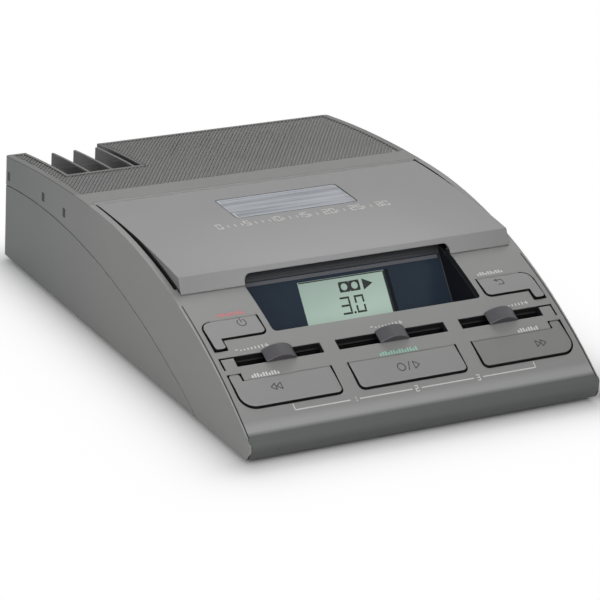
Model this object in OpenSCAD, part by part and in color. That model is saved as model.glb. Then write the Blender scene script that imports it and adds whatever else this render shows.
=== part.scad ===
// Desktop dictation machine: a sloped housing with a mini-cassette deck under a hinged lid,
// a recessed display, five hinged keys, three slide controls and a loudspeaker at the rear.
// Millimetres. +Z is up, the front is at -Y, the origin is on the table under the middle.

/* [Housing] */
// Width of the housing
body_w = 166; // [162:1:174]
// Depth of the housing from the nose to the rear wall
body_d = 241; // [239:0.5:245]
// Height of the crown above the table
crown_h = 57; // [56:0.25:60]
// Crown line behind the middle of the housing
crown_y = 24; // [23:0.5:25]
// Height of the middle of the nose's rounding above the table
nose_z = 7.82; // [7.5:0.02:8.5]
// Roof radius behind the crown
roof_rear_r = 655; // [620:5:700]
// Thickness of the cover's side walls
side_wall = 2.8; // [2.5:0.1:3]
// Thickness of the cover's roof and end walls
roof_wall = 2.5; // [2.2:0.1:2.8]
// Rounding of the nose
nose_r = 4; // [3.5:0.25:4.5]
// Lean of the undercut below the nose in degrees
undercut_a = 30; // [25:1:35]
// Plan rounding of the front corners
front_corner_r = 1.5; // [1:0.25:2.5]
// Plan rounding of the rear corners
rear_corner_r = 2; // [1.5:0.25:3]

/* [Base] */
// Height of the rubber feet below the housing
foot_h = 2.5; // [2:0.1:3]
// Radius of a rubber foot
foot_r = 6.5; // [5:0.5:7.5]
// Depth of the recess that a foot is glued into
foot_seat = 0.8; // [0.5:0.1:1]
// Middle of a foot from the housing's side
foot_side = 17; // [15:0.5:22]
// Middle of a front foot behind the nose
foot_front = 22.5; // [20:0.5:26]
// Middle of a rear foot ahead of the rear wall
foot_rear = 28.5; // [27.5:0.5:32]
// Thickness of the floor
floor_t = 2.2; // [2:0.1:2.6]
// Thickness of the base's side and rear walls
base_wall = 2.2; // [2:0.1:2.6]
// Highest point of the side seam, behind the middle
seam_y = 75.5; // [72:0.5:79]
// Highest point of the side seam, below the crown
seam_drop = 18; // [16:0.5:20]
// Radius of the side seam
seam_r = 322; // [315:1:330]
// Width of the seam line
seam_gap = 0.5; // [0.3:0.1:0.8]

/* [Housing screws] */
// Radius of a housing screw's thread
screw_r = 1.4; // [1.2:0.1:1.5]
// Radius of a housing screw's head
screw_head_r = 2.8; // [2.4:0.1:3]
// Height of a housing screw's head
screw_head_h = 2; // [1.6:0.1:2.2]
// Depth of the head's seat above the table
screw_seat_z = 6.5; // [6:0.1:7]
// Height where the bosses of base and cover meet
boss_z = 14; // [13:0.5:15]
// Radius of a cover boss
boss_r = 3.5; // [3.2:0.1:3.8]

/* [Lid] */
// Rear edge of the lid, behind the middle
lid_rear_y = 34.5; // [33.5:0.5:35.5]
// Front edge of the lid, ahead of the middle
lid_front_y = 49.5; // [49:0.25:50.5]
// Radius of the lid's top in front of the crown
lid_r = 560; // [520:10:620]
// Thickness of the lid
lid_t = 2.2; // [2:0.1:2.4]
// Gap along the lid's sides
lid_gap = 1; // [0.6:0.1:1.2]
// Lean of the lid's front face
lid_lean = 3.5; // [2.5:0.25:4]
// Depth of the ledge under the lid's front
lid_ledge = 4.5; // [4:0.25:5]
// How far the lid's sides reach down inside the housing
lid_skirt = 1.5; // [1:0.1:2]
// Radius of the hinge barrel along the lid's rear edge
hinge_r = 3; // [2.8:0.1:3.2]
// Radius of the hinge pins
hinge_pin_r = 1.2; // [1:0.05:1.4]
// Length of a hinge pin inside the lid
hinge_pin_in = 7; // [5:0.5:9]
// Depth of a hinge pin inside the side wall
hinge_pin_out = 1.8; // [1.5:0.1:2]
// Gap around the hinge barrel
hinge_gap = 0.4; // [0.3:0.05:0.5]
// Width of the notch over the display
notch_w = 99; // [96:1:101]
// Rounding of the notch's upper corners
notch_corner_r = 3; // [2:0.25:4]
// Width of the window in the lid
window_w = 60; // [56:1:62]
// Depth of the window in the lid
window_d = 21.5; // [20:0.5:23]
// Middle of the window behind the middle of the housing
window_y = 7.75; // [7:0.25:9]
// Rounding of the window's corners
window_corner_r = 1.5; // [1:0.1:2]
// Width of the window's hidden flange
window_flange = 1.3; // [1:0.1:1.6]

/* [Rear grille and bays] */
// Front edge of the ribbed grille, behind the middle
grille_y = 46.5; // [46:0.5:48]
// Thickness of the grille
grille_t = 2.4; // [2:0.1:2.6]
// Width of the ledge that carries the grille
grille_ledge = 2.5; // [2:0.1:3]
// Width of the housing's rim beside the grille
grille_rim = 3.2; // [3.1:0.1:3.6]
// Pitch of the ribs
rib_pitch = 1.53; // [1.45:0.01:1.6]
// Width of a rib
rib_w = 0.8; // [0.7:0.05:0.9]
// Height of the ribs over the grille's plate
rib_h = 0.6; // [0.4:0.1:0.8]
// Depth of the ribs' tops below the roof
rib_top = 0.05; // [0.05:0.05:0.15]
// Gap between the ribs' ends and the housing's rim
rib_inset = 0.5; // [0.4:0.1:0.8]
// Lean of the ribs and slots in degrees
rib_a = 34.5; // [32:0.5:37]
// Ribs from one main rib to the next
rib_step = 4; // [3:1:5]
// Grooves from one sound slot to the next
sound_step = 2; // [2:1:3]
// Width of a sound slot
sound_slot_w = 0.6; // [0.5:0.05:0.7]
// Left end of the plug bays, from the side of the housing
bay_side = 10; // [9.5:0.5:11]
// Front wall of the plug bays, behind the middle
bay_y = 75; // [74:0.5:76]
// Floor of the plug bays below the crown
bay_drop = 33; // [32:0.25:33.5]
// Width of one plug bay
bay_w = 9.7; // [9.4:0.1:9.8]
// Thickness of the fins between the bays
fin_t = 1.2; // [1:0.1:1.4]
// How far the fins stop short of the rear wall
fin_short = 7; // [5:0.5:9]
// Width of the groove beside the bays
groove_w = 3; // [2.6:0.1:3.2]
// Thickness of the bay's walls
bay_wall = 1.6; // [1.4:0.1:1.8]

/* [Keys] */
// Middle line of the slide controls, ahead of the middle
slot_y = 86.5; // [86:0.25:87]
// Gap round a key
key_gap = 0.9; // [0.7:0.1:1.1]
// Hairline behind a key
key_rear_gap = 0.4; // [0.35:0.05:0.5]
// Thickness of a key
key_t = 2.2; // [2:0.1:2.4]
// Angle by which the keys stand up at their front in degrees
key_lift_a = 3.5; // [2.5:0.25:4]
// Margin between the outer keys and the side wall
key_margin = 0.7; // [0.5:0.1:0.9]
// Half width of the play key's opening
play_half = 26; // [25:0.5:27]
// Width of the bridges between the front keys
key_bridge = 7; // [6.6:0.2:8]
// Width of the keys' legs beside the slots
leg_w = 6.5; // [6:0.25:7]
// Rounding of the keys' inner corners
key_corner_r = 3; // [2:0.25:4]
// Rounding of the outer corners
outer_corner_r = 7; // [6:0.5:8]
// Front edge of the front keys, down the slope from the slots
front_key_front = 24.1; // [23.5:0.1:24.5]
// Rear edge of the front keys, down the slope from the slots
front_key_rear = 9.5; // [9:0.1:10]
// End of the front keys' legs, down the slope from the slots
front_leg = 5.1; // [4.7:0.1:5.5]
// Front edge of the rear keys, up the slope from the slots
rear_key_front = 11.6; // [11:0.1:12]
// Rear edge of the rear keys, up the slope from the slots
rear_key_rear = 23; // [22.5:0.1:23.5]
// End of the rear keys' legs, up the slope from the slots
rear_leg = 6.1; // [5.7:0.1:6.5]
// Depth of the key rods below the keys
rod_depth = 4.7; // [4.6:0.1:5]
// Radius of the key rods
rod_r = 1.25; // [1.1:0.05:1.3]
// Radius of the keys' hinge barrels
barrel_r = 2.4; // [2.2:0.05:2.45]
// Radius of the posts under the keys
stem_r = 2; // [1.6:0.1:2.2]
// Gap between a key's post and its pad at rest
press_gap = 1.1; // [1:0.05:1.2]

/* [Slide controls] */
// Width of the slots along the slope
slot_w = 5.5; // [5:0.1:5.8]
// Width of the bent slits beside the outer slots
slit_w = 0.9; // [0.7:0.1:1]
// Length of the slits' legs along the slope
slit_l = 6.5; // [5:0.25:6.75]
// Width of a slide knob
knob_w = 14; // [12:0.5:15]
// Depth of a slide knob along the slope
knob_d = 6.4; // [6:0.1:7]
// Height of a slide knob
knob_h = 3.2; // [2.8:0.1:3.6]
// Gap between knob and panel
knob_gap = 0.4; // [0.35:0.05:0.6]
// Width of a slide lever
lever_w = 3.2; // [2.6:0.1:3.6]
// Depth of a slide lever along the slope
lever_d = 2.4; // [2:0.1:2.6]
// Depth of a slide potentiometer along the slope
pot_d = 7; // [6.5:0.1:7.2]
// Height of a slide potentiometer
pot_h = 4.5; // [4:0.1:4.8]
// Gap between a lever and its slot
lever_gap = 0.3; // [0.25:0.05:0.4]

/* [Control board] */
// Depth of the control board below the panel
board_depth = 9; // [8.8:0.1:9.4]
// Thickness of all circuit boards
board_t = 1.6; // [1.4:0.1:1.8]
// Thickness of the rubber key mats
mat_t = 0.8; // [0.6:0.1:1]
// Height of a contact pad above its mat
pad_h = 1.6; // [1.4:0.1:1.7]
// Radius of a contact pad
pad_r = 2.3; // [2:0.1:2.4]
// Radius of the small screws' threads
small_screw_r = 1.1; // [1:0.05:1.2]
// Radius of the small screws' heads
small_head_r = 2.1; // [1.8:0.1:2.3]
// Height of the small screws' heads
small_head_h = 1.5; // [1.2:0.1:1.7]

/* [Display] */
// Half width of the display opening
display_half = 49.7; // [49:0.1:50]
// Front edge of the display opening, up the slope from the slots
display_front = 12.2; // [11.8:0.1:12.6]
// Rounding of the display opening's front corners
display_corner_r = 2; // [1:0.5:3]
// Middle of the display glass, ahead of the middle
display_y = 48; // [47.5:0.25:48.5]
// Middle of the display glass below the crown
display_drop = 24.3; // [24:0.1:24.8]
// Tilt of the display glass in degrees
display_a = 51.5; // [50:0.5:53]
// Half height of the display glass
glass_half = 13; // [12.6:0.1:13.2]
// Thickness of the display glass
glass_t = 1.5; // [1.2:0.1:1.8]
// Width of the liquid crystal panel
lcd_w = 42; // [40:0.5:44]
// Height of the liquid crystal panel
lcd_h = 19.4; // [18:0.2:20]
// Wall of the display tub
tub_wall = 1.2; // [1:0.1:1.3]

/* [Cassette deck] */
// Deck moulding below the crown
deck_drop = 12; // [11.8:0.1:12.4]
// Thickness of the deck moulding
deck_t = 2; // [1.8:0.1:2.4]
// Room between deck plate and deck moulding
deck_room = 5.5; // [5.3:0.1:6]
// Thickness of the steel deck plate
plate_t = 1.5; // [1.2:0.1:1.8]
// Width of the cassette
cassette_w = 56; // [54:0.5:57]
// Depth of the cassette
cassette_d = 34; // [33:0.5:35]
// Thickness of the cassette
cassette_t = 8; // [7.6:0.1:8.2]
// Rounding of the cassette's corners
cassette_corner_r = 2; // [1:0.25:3]
// Wall of the cassette
cassette_wall = 1; // [0.8:0.1:1.2]
// Middle of the cassette behind the middle of the housing
cassette_y = 3; // [2.5:0.25:3.5]
// Distance between the reels
reel_pitch = 25; // [24.5:0.1:25.5]
// Radius of the turntables
turntable_r = 10.5; // [10.2:0.1:10.6]
// Radius of the spindles
spindle_r = 2.6; // [2.4:0.1:2.7]
// Radius of the wheels' fixed shafts
shaft_r = 1; // [0.9:0.05:1.1]
// Radius of the tape on the left reel
left_pack_r = 10.4; // [9.5:0.1:10.8]
// Radius of the tape on the right reel
right_pack_r = 8.4; // [8:0.1:9.5]
// Drive pulley ahead of the middle of the housing
drive_y = 20; // [19.5:0.1:20.5]
// Radius of the drive pulley
drive_r = 5.5; // [5.3:0.1:5.7]
// Radius of the idler wheel
idler_r = 6.2; // [6:0.1:6.3]
// Gap between wheels that run on each other
wheel_gap = 0.3; // [0.25:0.05:0.35]
// Motor beside the middle
motor_x = 30; // [29:0.5:31]
// Radius of the motor
motor_r = 12; // [10:0.5:12.5]
// Room between the motor and the main board
motor_room = 4.4; // [3:0.1:6]
// Radius of the motor pulley
motor_pulley_r = 2.2; // [2:0.1:2.6]
// Radius of the motor's shaft
motor_shaft_r = 0.8; // [0.6:0.05:1]
// Thickness of the drive belt
belt_t = 1; // [0.8:0.1:1.1]
// Stroke of the head carriage
head_stroke = 4; // [3:0.25:4.5]

/* [Loudspeaker and boards] */
// Loudspeaker right of the middle
speaker_x = 25; // [23:0.5:28]
// Loudspeaker ahead of the middle of the rear compartment
speaker_ahead = 0.5; // [0:0.25:1]
// Room round the loudspeaker's frame in the rear compartment
speaker_room = 7; // [6.5:0.25:9]
// Flange of the loudspeaker below the crown
speaker_drop = 11; // [10.8:0.1:12]
// Depth of the loudspeaker's basket
basket_h = 11; // [10:0.5:12]
// Radius of the loudspeaker's magnet
magnet_r = 14; // [12:0.5:15]
// Height of the loudspeaker's magnet
magnet_h = 8; // [7:0.5:9]
// Main board above the table
main_board_z = 10; // [9.5:0.25:11]
// Room between the main board and the side walls
main_board_gap = 14.2; // [13.2:0.2:20]
// Sockets above the floor of the bays
socket_rise = 12; // [11:0.5:13]
// Bore of the headphone socket
phone_bore_r = 1.8; // [1.7:0.05:1.9]
// Bore of the foot control socket
pedal_bore_r = 1.3; // [1.2:0.05:1.4]
// Bore of the power inlet
inlet_bore_r = 2.8; // [2.6:0.1:3]
// Pin of the power inlet
inlet_pin_r = 1; // [0.9:0.05:1.1]
// Depth of the sockets' bodies
socket_d = 13; // [11:0.5:14]

/* [Hidden] */

$fn = 96;
// Steps round the large circles of the roof, lid and seam
fine = 360;
// Overshoot of cuts, radial play of running fits, and play of glued or seated pieces
over = 1;
run_fit = 0.05;
seat_fit = 0.1;
loose_fit = 0.3;
// Lap of arcs and lines that would only just touch
hair = 0.02;
// Size of the half planes that trim the profiles
far = 300;

half_w = body_w / 2;
inner_x = half_w - side_wall;
nose_y = -body_d / 2;
rear_y = body_d / 2;
floor_z = foot_h + floor_t;
seam_z = crown_h - seam_drop;

// Centre of the nose and the direction from the roof's centre to it
nose_cy = nose_y + nose_r + hair;
nose_drop = crown_h - nose_z - nose_r;
roof_front_r = nose_r + (pow(crown_y - nose_cy, 2) + pow(nose_drop, 2)) / (2 * nose_drop);
roof_centre_z = crown_h - roof_front_r;
nose_cz = nose_z;
nose_a = atan2(nose_cz - roof_centre_z, nose_cy - crown_y);

// Slope of the key panel at the slots
slope_a = asin((crown_y + slot_y) / roof_front_r);

// Lid
lid_half = inner_x - lid_gap;
lid_ledge_y = -lid_front_y + lid_ledge;
hinge_y = lid_rear_y - hinge_gap - hinge_r;
hinge_z = crown_h - hinge_r;
window_lens_z = crown_h - 1.1;
window_seat_z = crown_h - 2.4;
window_bottom_z = crown_h - 3.3;

// Grille and bays
grille_half = half_w - grille_rim;
grille_rear_y = rear_y - roof_wall + 0.3;
bays = 3;
bay_x = half_w - bay_side;
bay_floor_z = crown_h - bay_drop;
bay_pitch = bay_w + fin_t;
bay_right_x = -bay_x + bays * bay_pitch + groove_w;
bay_block_x0 = -bay_x - bay_wall;
bay_block_x1 = bay_right_x + bay_wall;
bay_block_y = bay_y - bay_wall - 0.4;

// Keys, in the coordinates of the slope
key_out_x = inner_x - key_margin;
leg_x = key_out_x - leg_w;
side_in_x = play_half + key_bridge;
display_margin = 2.6;
power_in_x = display_half + display_margin;
front_pivot_u = -front_key_rear - key_rear_gap - barrel_r;
rear_pivot_u = rear_key_rear - key_rear_gap - barrel_r;
front_pivot_w = panel_w(front_pivot_u) - rod_depth;
rear_pivot_w = panel_w(rear_pivot_u) - rod_depth;
front_stem_u = -front_key_front + key_gap + stem_r + 2;
rear_stem_u = rear_key_front + key_gap + stem_r + 0.6;
rod_hole_x = inner_x + 1.2;
holder_t = 4;
rear_mat_half = 8;
rear_mat_d = 9;
front_barrel_in = key_gap + 0.3;
rod_end = rod_hole_x - 0.2;
board_half = inner_x - 3;
control_screw_u = [-front_key_front + 5, display_front - 6.3];
bridge_x = play_half + key_bridge / 2;

// Slide controls: middle and half length of each slot
speed_x = -(leg_x + side_in_x) / 2;
side_slot_half = (leg_x - side_in_x) / 2;
lever_foot_w = -board_depth + 1.4;
pot_end = 3;
slides = [[speed_x, side_slot_half], [0, play_half], [-speed_x, side_slot_half]];

// Display
display_z = crown_h - display_drop;
tub_half = display_half + tub_wall;
lcd_inset = 0.2;
frame_t = 1.5;

// Cassette deck
deck_z = crown_h - deck_drop;
plate_z = deck_z - deck_t - deck_room - plate_t;
plate_top = plate_z + plate_t;
motor_h = plate_z - main_board_z - board_t - motor_room;
wheel_z = deck_z - deck_t - 2;
wheel_t = 1.6;
reel_x = reel_pitch / 2;
reel_y = cassette_y + 2;
cassette_z = deck_z;
cassette_top = cassette_z + cassette_t;
idler_y = -drive_y + drive_r + idler_r + wheel_gap;
drive_hub_r = 2.2;
motor_nose_r = 2.9;
motor_boss_r = 3.5;
idler_shaft_r = shaft_r - 0.2;
turntable_hub_r = 3;
hub_r = spindle_r + 1.4;
tape_edge = 0.6;
rim_h = 0.4;
arm_z = wheel_z - 1.3;
arm_t = 1;
belt_z = plate_top + 0.4;
deck_post_r = 4;
deck_screw_l = 8;
rail_w = 2.8;
deck_posts = [[-48, -28], [48, -28], [-48, 24], [48, 24]];
plate_half = 53;
plate_y0 = -33;
plate_y1 = 29;
deck_wall_z = crown_h - 6.2;
// Deck moulding behind the display glass, and the cassette's guides and stops
deck_front = 12;
guide_t = 1.6;
guide_half = 12;
guide_h = 4;
stop_w = 8;
carriage_z = deck_z + loose_fit;
carriage_t = 1.2;
tape_gap = 1;
mouth_half = 12;
carriage_pin_x = 11;
carriage_pin_y = -24;
carriage_half = 15;
carriage_front = 3;
carriage_rear = 4.8;
// Heads: left and right side of each, depth below the cassette's top and the radius of the face
sound_head_x = [-3.5, 3.5];
erase_head_x = [5, 8.6];
head_drop = 1.8;
head_face_r = 9;
tape_y = cassette_y - cassette_d / 2;

// Base: front edge of the floor and places of the feet
front_plate_y = nose_y + nose_r + 2.8;
foot_x = half_w - foot_side;
foot_places = [for (x = [-foot_x, foot_x]) for (y = [nose_y + foot_front, rear_y - foot_rear]) [x, y]];

// Catch windows in the sides: middle of each, ahead of the rear wall and below the crown
catch_places = [for (p = [[4.5, 15.8], [41.8, 12.5], [63.7, 12.1]]) [rear_y - p[0], crown_h - p[1]]];
catch_w = 2;
catch_h = 3.7;

// Housing screws: the height where each thread ends, and their places
screw_end_z = bay_floor_z - bay_wall - 2.4;
boss_rib_t = 2.4;
// The bosses' distances from the side walls, the slots, the grille, the rear wall and the bays' side
boss_side = 8.2;
rear_boss_side = 5.2;
boss_to_slots = 29.5;
boss_to_grille = 6.5;
boss_to_rear = 16.5;
boss_to_bays = 7;
boss_x = inner_x - boss_side;
boss_front_y = -slot_y + boss_to_slots;
boss_middle_y = grille_y - boss_to_grille;
boss_rear_y = rear_y - boss_to_rear;
boss_places = [[-boss_x, boss_front_y], [boss_x, boss_front_y], [-boss_x, boss_middle_y],
  [boss_x, boss_middle_y], [-bay_x + boss_to_bays, boss_rear_y], [inner_x - rear_boss_side, boss_rear_y]];

// Loudspeaker and boards
speaker_y = (grille_y + rear_y) / 2 - speaker_ahead;
speaker_z = crown_h - speaker_drop;
speaker_r = (rear_y - grille_y) / 2 - speaker_room;
flange_t = 1.5;
dome_r = 6;
dome_z = -basket_h + 5;
cone_t = 1.2;
surround_w = 3;
pole_r = 5;
pole_h = 3;
speaker_screw_h = 3;
speaker_hole_r = speaker_r - 2.6;
speaker_edge_r = speaker_r - 5;
speaker_screws_a = [45:90:315];
main_board_half = inner_x - main_board_gap;
main_board_y0 = -34;
main_board_y1 = 62;
main_post_in = 6;
main_post_front = 16;
main_posts = [for (x = [-1, 1] * (main_board_half - main_post_in))
  for (y = [main_board_y0 + main_post_front, main_board_y1 - main_post_in]) [x, y]];
// Parts on the main board: chips and a connector as [x, y, width, depth, height], then capacitors
// as [x, y, radius, height]
chips = [[-34, 40, 20, 8, 3], [-8, 40, 20, 8, 3], [-20, 4, 24, 12, 3],
  [-main_board_half + 4, -10, 8, 30, 7]];
capacitors = [[24, 44, 4, 10], [36, 44, 4, 10], [48, 44, 4, 10], [-30, -8, 3, 8], [-30, 2, 3, 8]];
socket_z = bay_floor_z + socket_rise;
socket_front_y = bay_y - bay_wall - 0.4;
socket_w = 8;
socket_h = 10;
socket_back = 1.2;

// Height of the roof over the table
function roof_z(y) = let (r = y < crown_y ? roof_front_r : roof_rear_r)
  crown_h - r + sqrt(r * r - pow(y - crown_y, 2));
// Height of the panel over its tangent plane at the slots
function panel_w(u) = sqrt(pow(roof_front_r, 2) - u * u) - roof_front_r;
// Radius of a socket's nose
function socket_nose_r(i) = [3.4, 2.9, 4][i];
// Middle of a plug bay
function bay_middle(i) = -bay_x + i * bay_pitch + bay_w / 2;

// The same radius at all four corners
function even(r) = [r, r, r, r];

// Shapes that repeat

module along_x(width) {
  rotate([90, 0, 90]) linear_extrude(width, center = true) children();
}

module both_sides() {
  children();
  mirror([1, 0, 0]) children();
}

module block(x0, x1, y0, y1, z0, z1) {
  translate([x0, y0, z0]) cube([x1 - x0, y1 - y0, z1 - z0]);
}

module post(x, y, r, z0, z1) {
  translate([x, y, z0]) cylinder(r = r, h = z1 - z0);
}

module rod(x0, x1, y, z, r) {
  translate([x0, y, z]) rotate([0, 90, 0]) cylinder(r = r, h = x1 - x0);
}

// Rectangle with four corner radii: front left, front right, rear right, rear left
module round_rect(x0, x1, y0, y1, r) {
  corners = [[x0, y0, 0, 0], [x1, y0, 1, 0], [x1, y1, 1, 1], [x0, y1, 0, 1]];
  difference() {
    translate([x0, y0]) square([x1 - x0, y1 - y0]);
    for (i = [0:3]) if (r[i] > 0)
      translate([corners[i][0], corners[i][1]])
        mirror([corners[i][2], 0]) mirror([0, corners[i][3]]) difference() {
          translate([-over, -over]) square(r[i] + over);
          translate([r[i], r[i]]) circle(r[i]);
        }
  }
}

// Everything under the roof, lowered by a depth, as a side profile
module under_roof(depth = 0) {
  intersection() {
    translate([crown_y, roof_centre_z]) circle(roof_front_r - depth, $fn = fine);
    translate([crown_y - far, -over]) square([far, far]);
  }
  intersection() {
    translate([crown_y, crown_h - roof_rear_r]) circle(roof_rear_r - depth, $fn = fine);
    translate([crown_y, -over]) square([far, far]);
  }
}

// Side profile of the housing, drawn in by a wall and closed at the bottom height. The nose stands
// proud of its neighbours by a hair, so that the arcs cross
module side_profile(wall, bottom) {
  r = nose_r - wall;
  low = [nose_cy - r * cos(undercut_a), nose_cz - r * sin(undercut_a)];
  run = (low[1] - bottom) * tan(undercut_a);
  high = [nose_cy + far * cos(nose_a), nose_cz + far * sin(nose_a)];
  intersection() {
    under_roof(wall);
    polygon([[nose_cy, nose_cz], high, [rear_y - wall, high[1]], [rear_y - wall, bottom],
      [low[0] + run, bottom], low]);
  }
  translate([nose_cy, nose_cz]) circle(r + hair);
}

module below_seam(gap) {
  translate([seam_y, seam_z - seam_r]) circle(seam_r + gap, $fn = fine);
}

// Upright prism of the housing's plan
module plan_prism() {
  f = front_corner_r;
  r = rear_corner_r;
  linear_extrude(far) round_rect(-half_w, half_w, nose_y, rear_y, [f, f, r, r]);
}

// Frame whose X-Y plane touches the panel at the slots; its Y runs up the slope
module on_slope() {
  translate([0, -slot_y, roof_z(-slot_y)]) rotate([slope_a, 0, 0]) children();
}

// Panel surface in the slope's side profile, lowered by a depth
module panel_disc(depth) {
  translate([0, -roof_front_r]) circle(roof_front_r - depth, $fn = fine);
}

// Frame whose X-Y plane is the front of the display glass
module on_display() {
  translate([0, -display_y, display_z]) rotate([display_a, 0, 0]) children();
}

// Key outlines on the slope, drawn in by a gap at the sides and front and by another at the rear
module power_outline(gap, rear_gap) {
  round_rect(-key_out_x + gap, -power_in_x - gap, rear_key_front + gap, rear_key_rear - rear_gap,
    [0, key_corner_r - gap, 0, outer_corner_r - 2 - gap]);
  round_rect(-key_out_x + gap, -leg_x - gap, rear_leg + gap, rear_key_front + gap + over,
    [gap + 0.4, gap + 0.4, 0, 0]);
}

module rewind_outline(gap, rear_gap) {
  round_rect(-key_out_x + gap, -side_in_x - gap, -front_key_front + gap, -front_key_rear - rear_gap,
    [outer_corner_r - gap, key_corner_r - gap, 0, 0]);
  round_rect(-key_out_x + gap, -leg_x - gap, -front_key_rear - rear_gap - over, -front_leg - gap,
    [0, 0, gap + 0.4, gap + 0.4]);
}

module play_outline(gap, rear_gap) {
  round_rect(-play_half + gap, play_half - gap, -front_key_front + gap, -front_key_rear - rear_gap,
    [key_corner_r - gap, key_corner_r - gap, 0, 0]);
}

// Key top: the panel's curve, turned up about the pivot so that the front stands proud
module key_top(pivot_u, pivot_w, depth) {
  translate([pivot_u, pivot_w]) rotate(-key_lift_a) translate([-pivot_u, -pivot_w]) panel_disc(depth);
}

// One key: plate, hinge barrel between x0 and x1 and a post over its contact pad
module key(pivot_u, pivot_w, x0, x1, stem_x, stem_u) {
  pad_top = -board_depth + mat_t + pad_h;
  difference() {
    union() {
      intersection() {
        translate([0, 0, -rod_depth - barrel_r]) linear_extrude(far) children();
        along_x(body_w) difference() {
          key_top(pivot_u, pivot_w, 0);
          key_top(pivot_u, pivot_w, key_t);
        }
      }
      rod(x0, x1, pivot_u, pivot_w, barrel_r);
      intersection() {
        union() {
          block(x0, x1, pivot_u - barrel_r / 2, pivot_u + barrel_r / 2, pivot_w, far);
          post(stem_x, stem_u, stem_r, pad_top + press_gap, far);
        }
        along_x(body_w) key_top(pivot_u, pivot_w, key_t / 2);
      }
    }
    rod(x0 - over, x1 + over, pivot_u, pivot_w, rod_r + run_fit);
  }
}

// Self-tapping screw with its head at the given height, pointing up
module screw_up(x, y, head_z, end_z, thread_r, head_r, head_h) {
  post(x, y, head_r, head_z - head_h, head_z);
  post(x, y, thread_r, head_z - head_h / 2, end_z);
}

// Self-tapping screw with its head on the given height, pointing down
module screw_down(x, y, head_z, end_z, thread_r, head_r, head_h) {
  post(x, y, head_r, head_z, head_z + head_h);
  post(x, y, thread_r, end_z, head_z + head_h / 2);
}

// Housing

module grille_plan(gap) {
  difference() {
    translate([-grille_half + gap, grille_y + gap])
      square([2 * (grille_half - gap), grille_rear_y - grille_y - 2 * gap]);
    translate([bay_block_x0 - gap, bay_block_y - gap])
      square([bay_block_x1 - bay_block_x0 + 2 * gap, far]);
  }
}

// Layer of the roof between two depths
module roof_layer(depth0, depth1) {
  along_x(body_w) difference() {
    under_roof(depth0);
    under_roof(depth1);
  }
}

module bay_tub() {
  intersection() {
    block(bay_block_x0, bay_block_x1, bay_block_y, rear_y, bay_floor_z - bay_wall, far);
    along_x(body_w) side_profile(0, foot_h);
  }
}

module bay_spaces() {
  for (i = [0:bays - 1])
    translate([-bay_x + i * bay_pitch, bay_y, bay_floor_z]) cube([bay_w, far, far]);
  translate([bay_right_x - groove_w, bay_y, bay_floor_z]) cube([groove_w, far, far]);
  block(-bay_x, bay_right_x, rear_y - fin_short, far, bay_floor_z, far);
}

module cover_bosses() {
  both_sides() {
    for (i = [1, 3]) post(boss_places[i][0], boss_places[i][1], boss_r, boss_z, far);
    block(inner_x - rail_w, inner_x + over, plate_y0 - over, plate_y1,
      deck_z - deck_t - rail_w, deck_z - deck_t);
  }
  left = boss_places[4];
  right = boss_places[5];
  post(left[0], left[1], boss_r, boss_z, bay_floor_z);
  post(right[0], right[1], boss_r, boss_z, deck_z);
  block(right[0], inner_x + over, right[1] - boss_rib_t / 2, right[1] + boss_rib_t / 2,
    seam_z + over, deck_z);
}

// Holders under the panel for the key rods and the control board
module panel_holders() {
  on_slope() intersection() {
    both_sides() {
      block(-bridge_x - holder_t / 2, -bridge_x + holder_t / 2, front_pivot_u - barrel_r,
        front_pivot_u + barrel_r, front_pivot_w - barrel_r, over);
      block(-power_in_x, -tub_half - 0.2, rear_pivot_u - barrel_r, rear_pivot_u + barrel_r,
        rear_pivot_w - barrel_r, over);
      for (u = control_screw_u) post(-bridge_x, u, small_head_r, -board_depth, over);
    }
    along_x(body_w) panel_disc(roof_wall / 2);
  }
}

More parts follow.
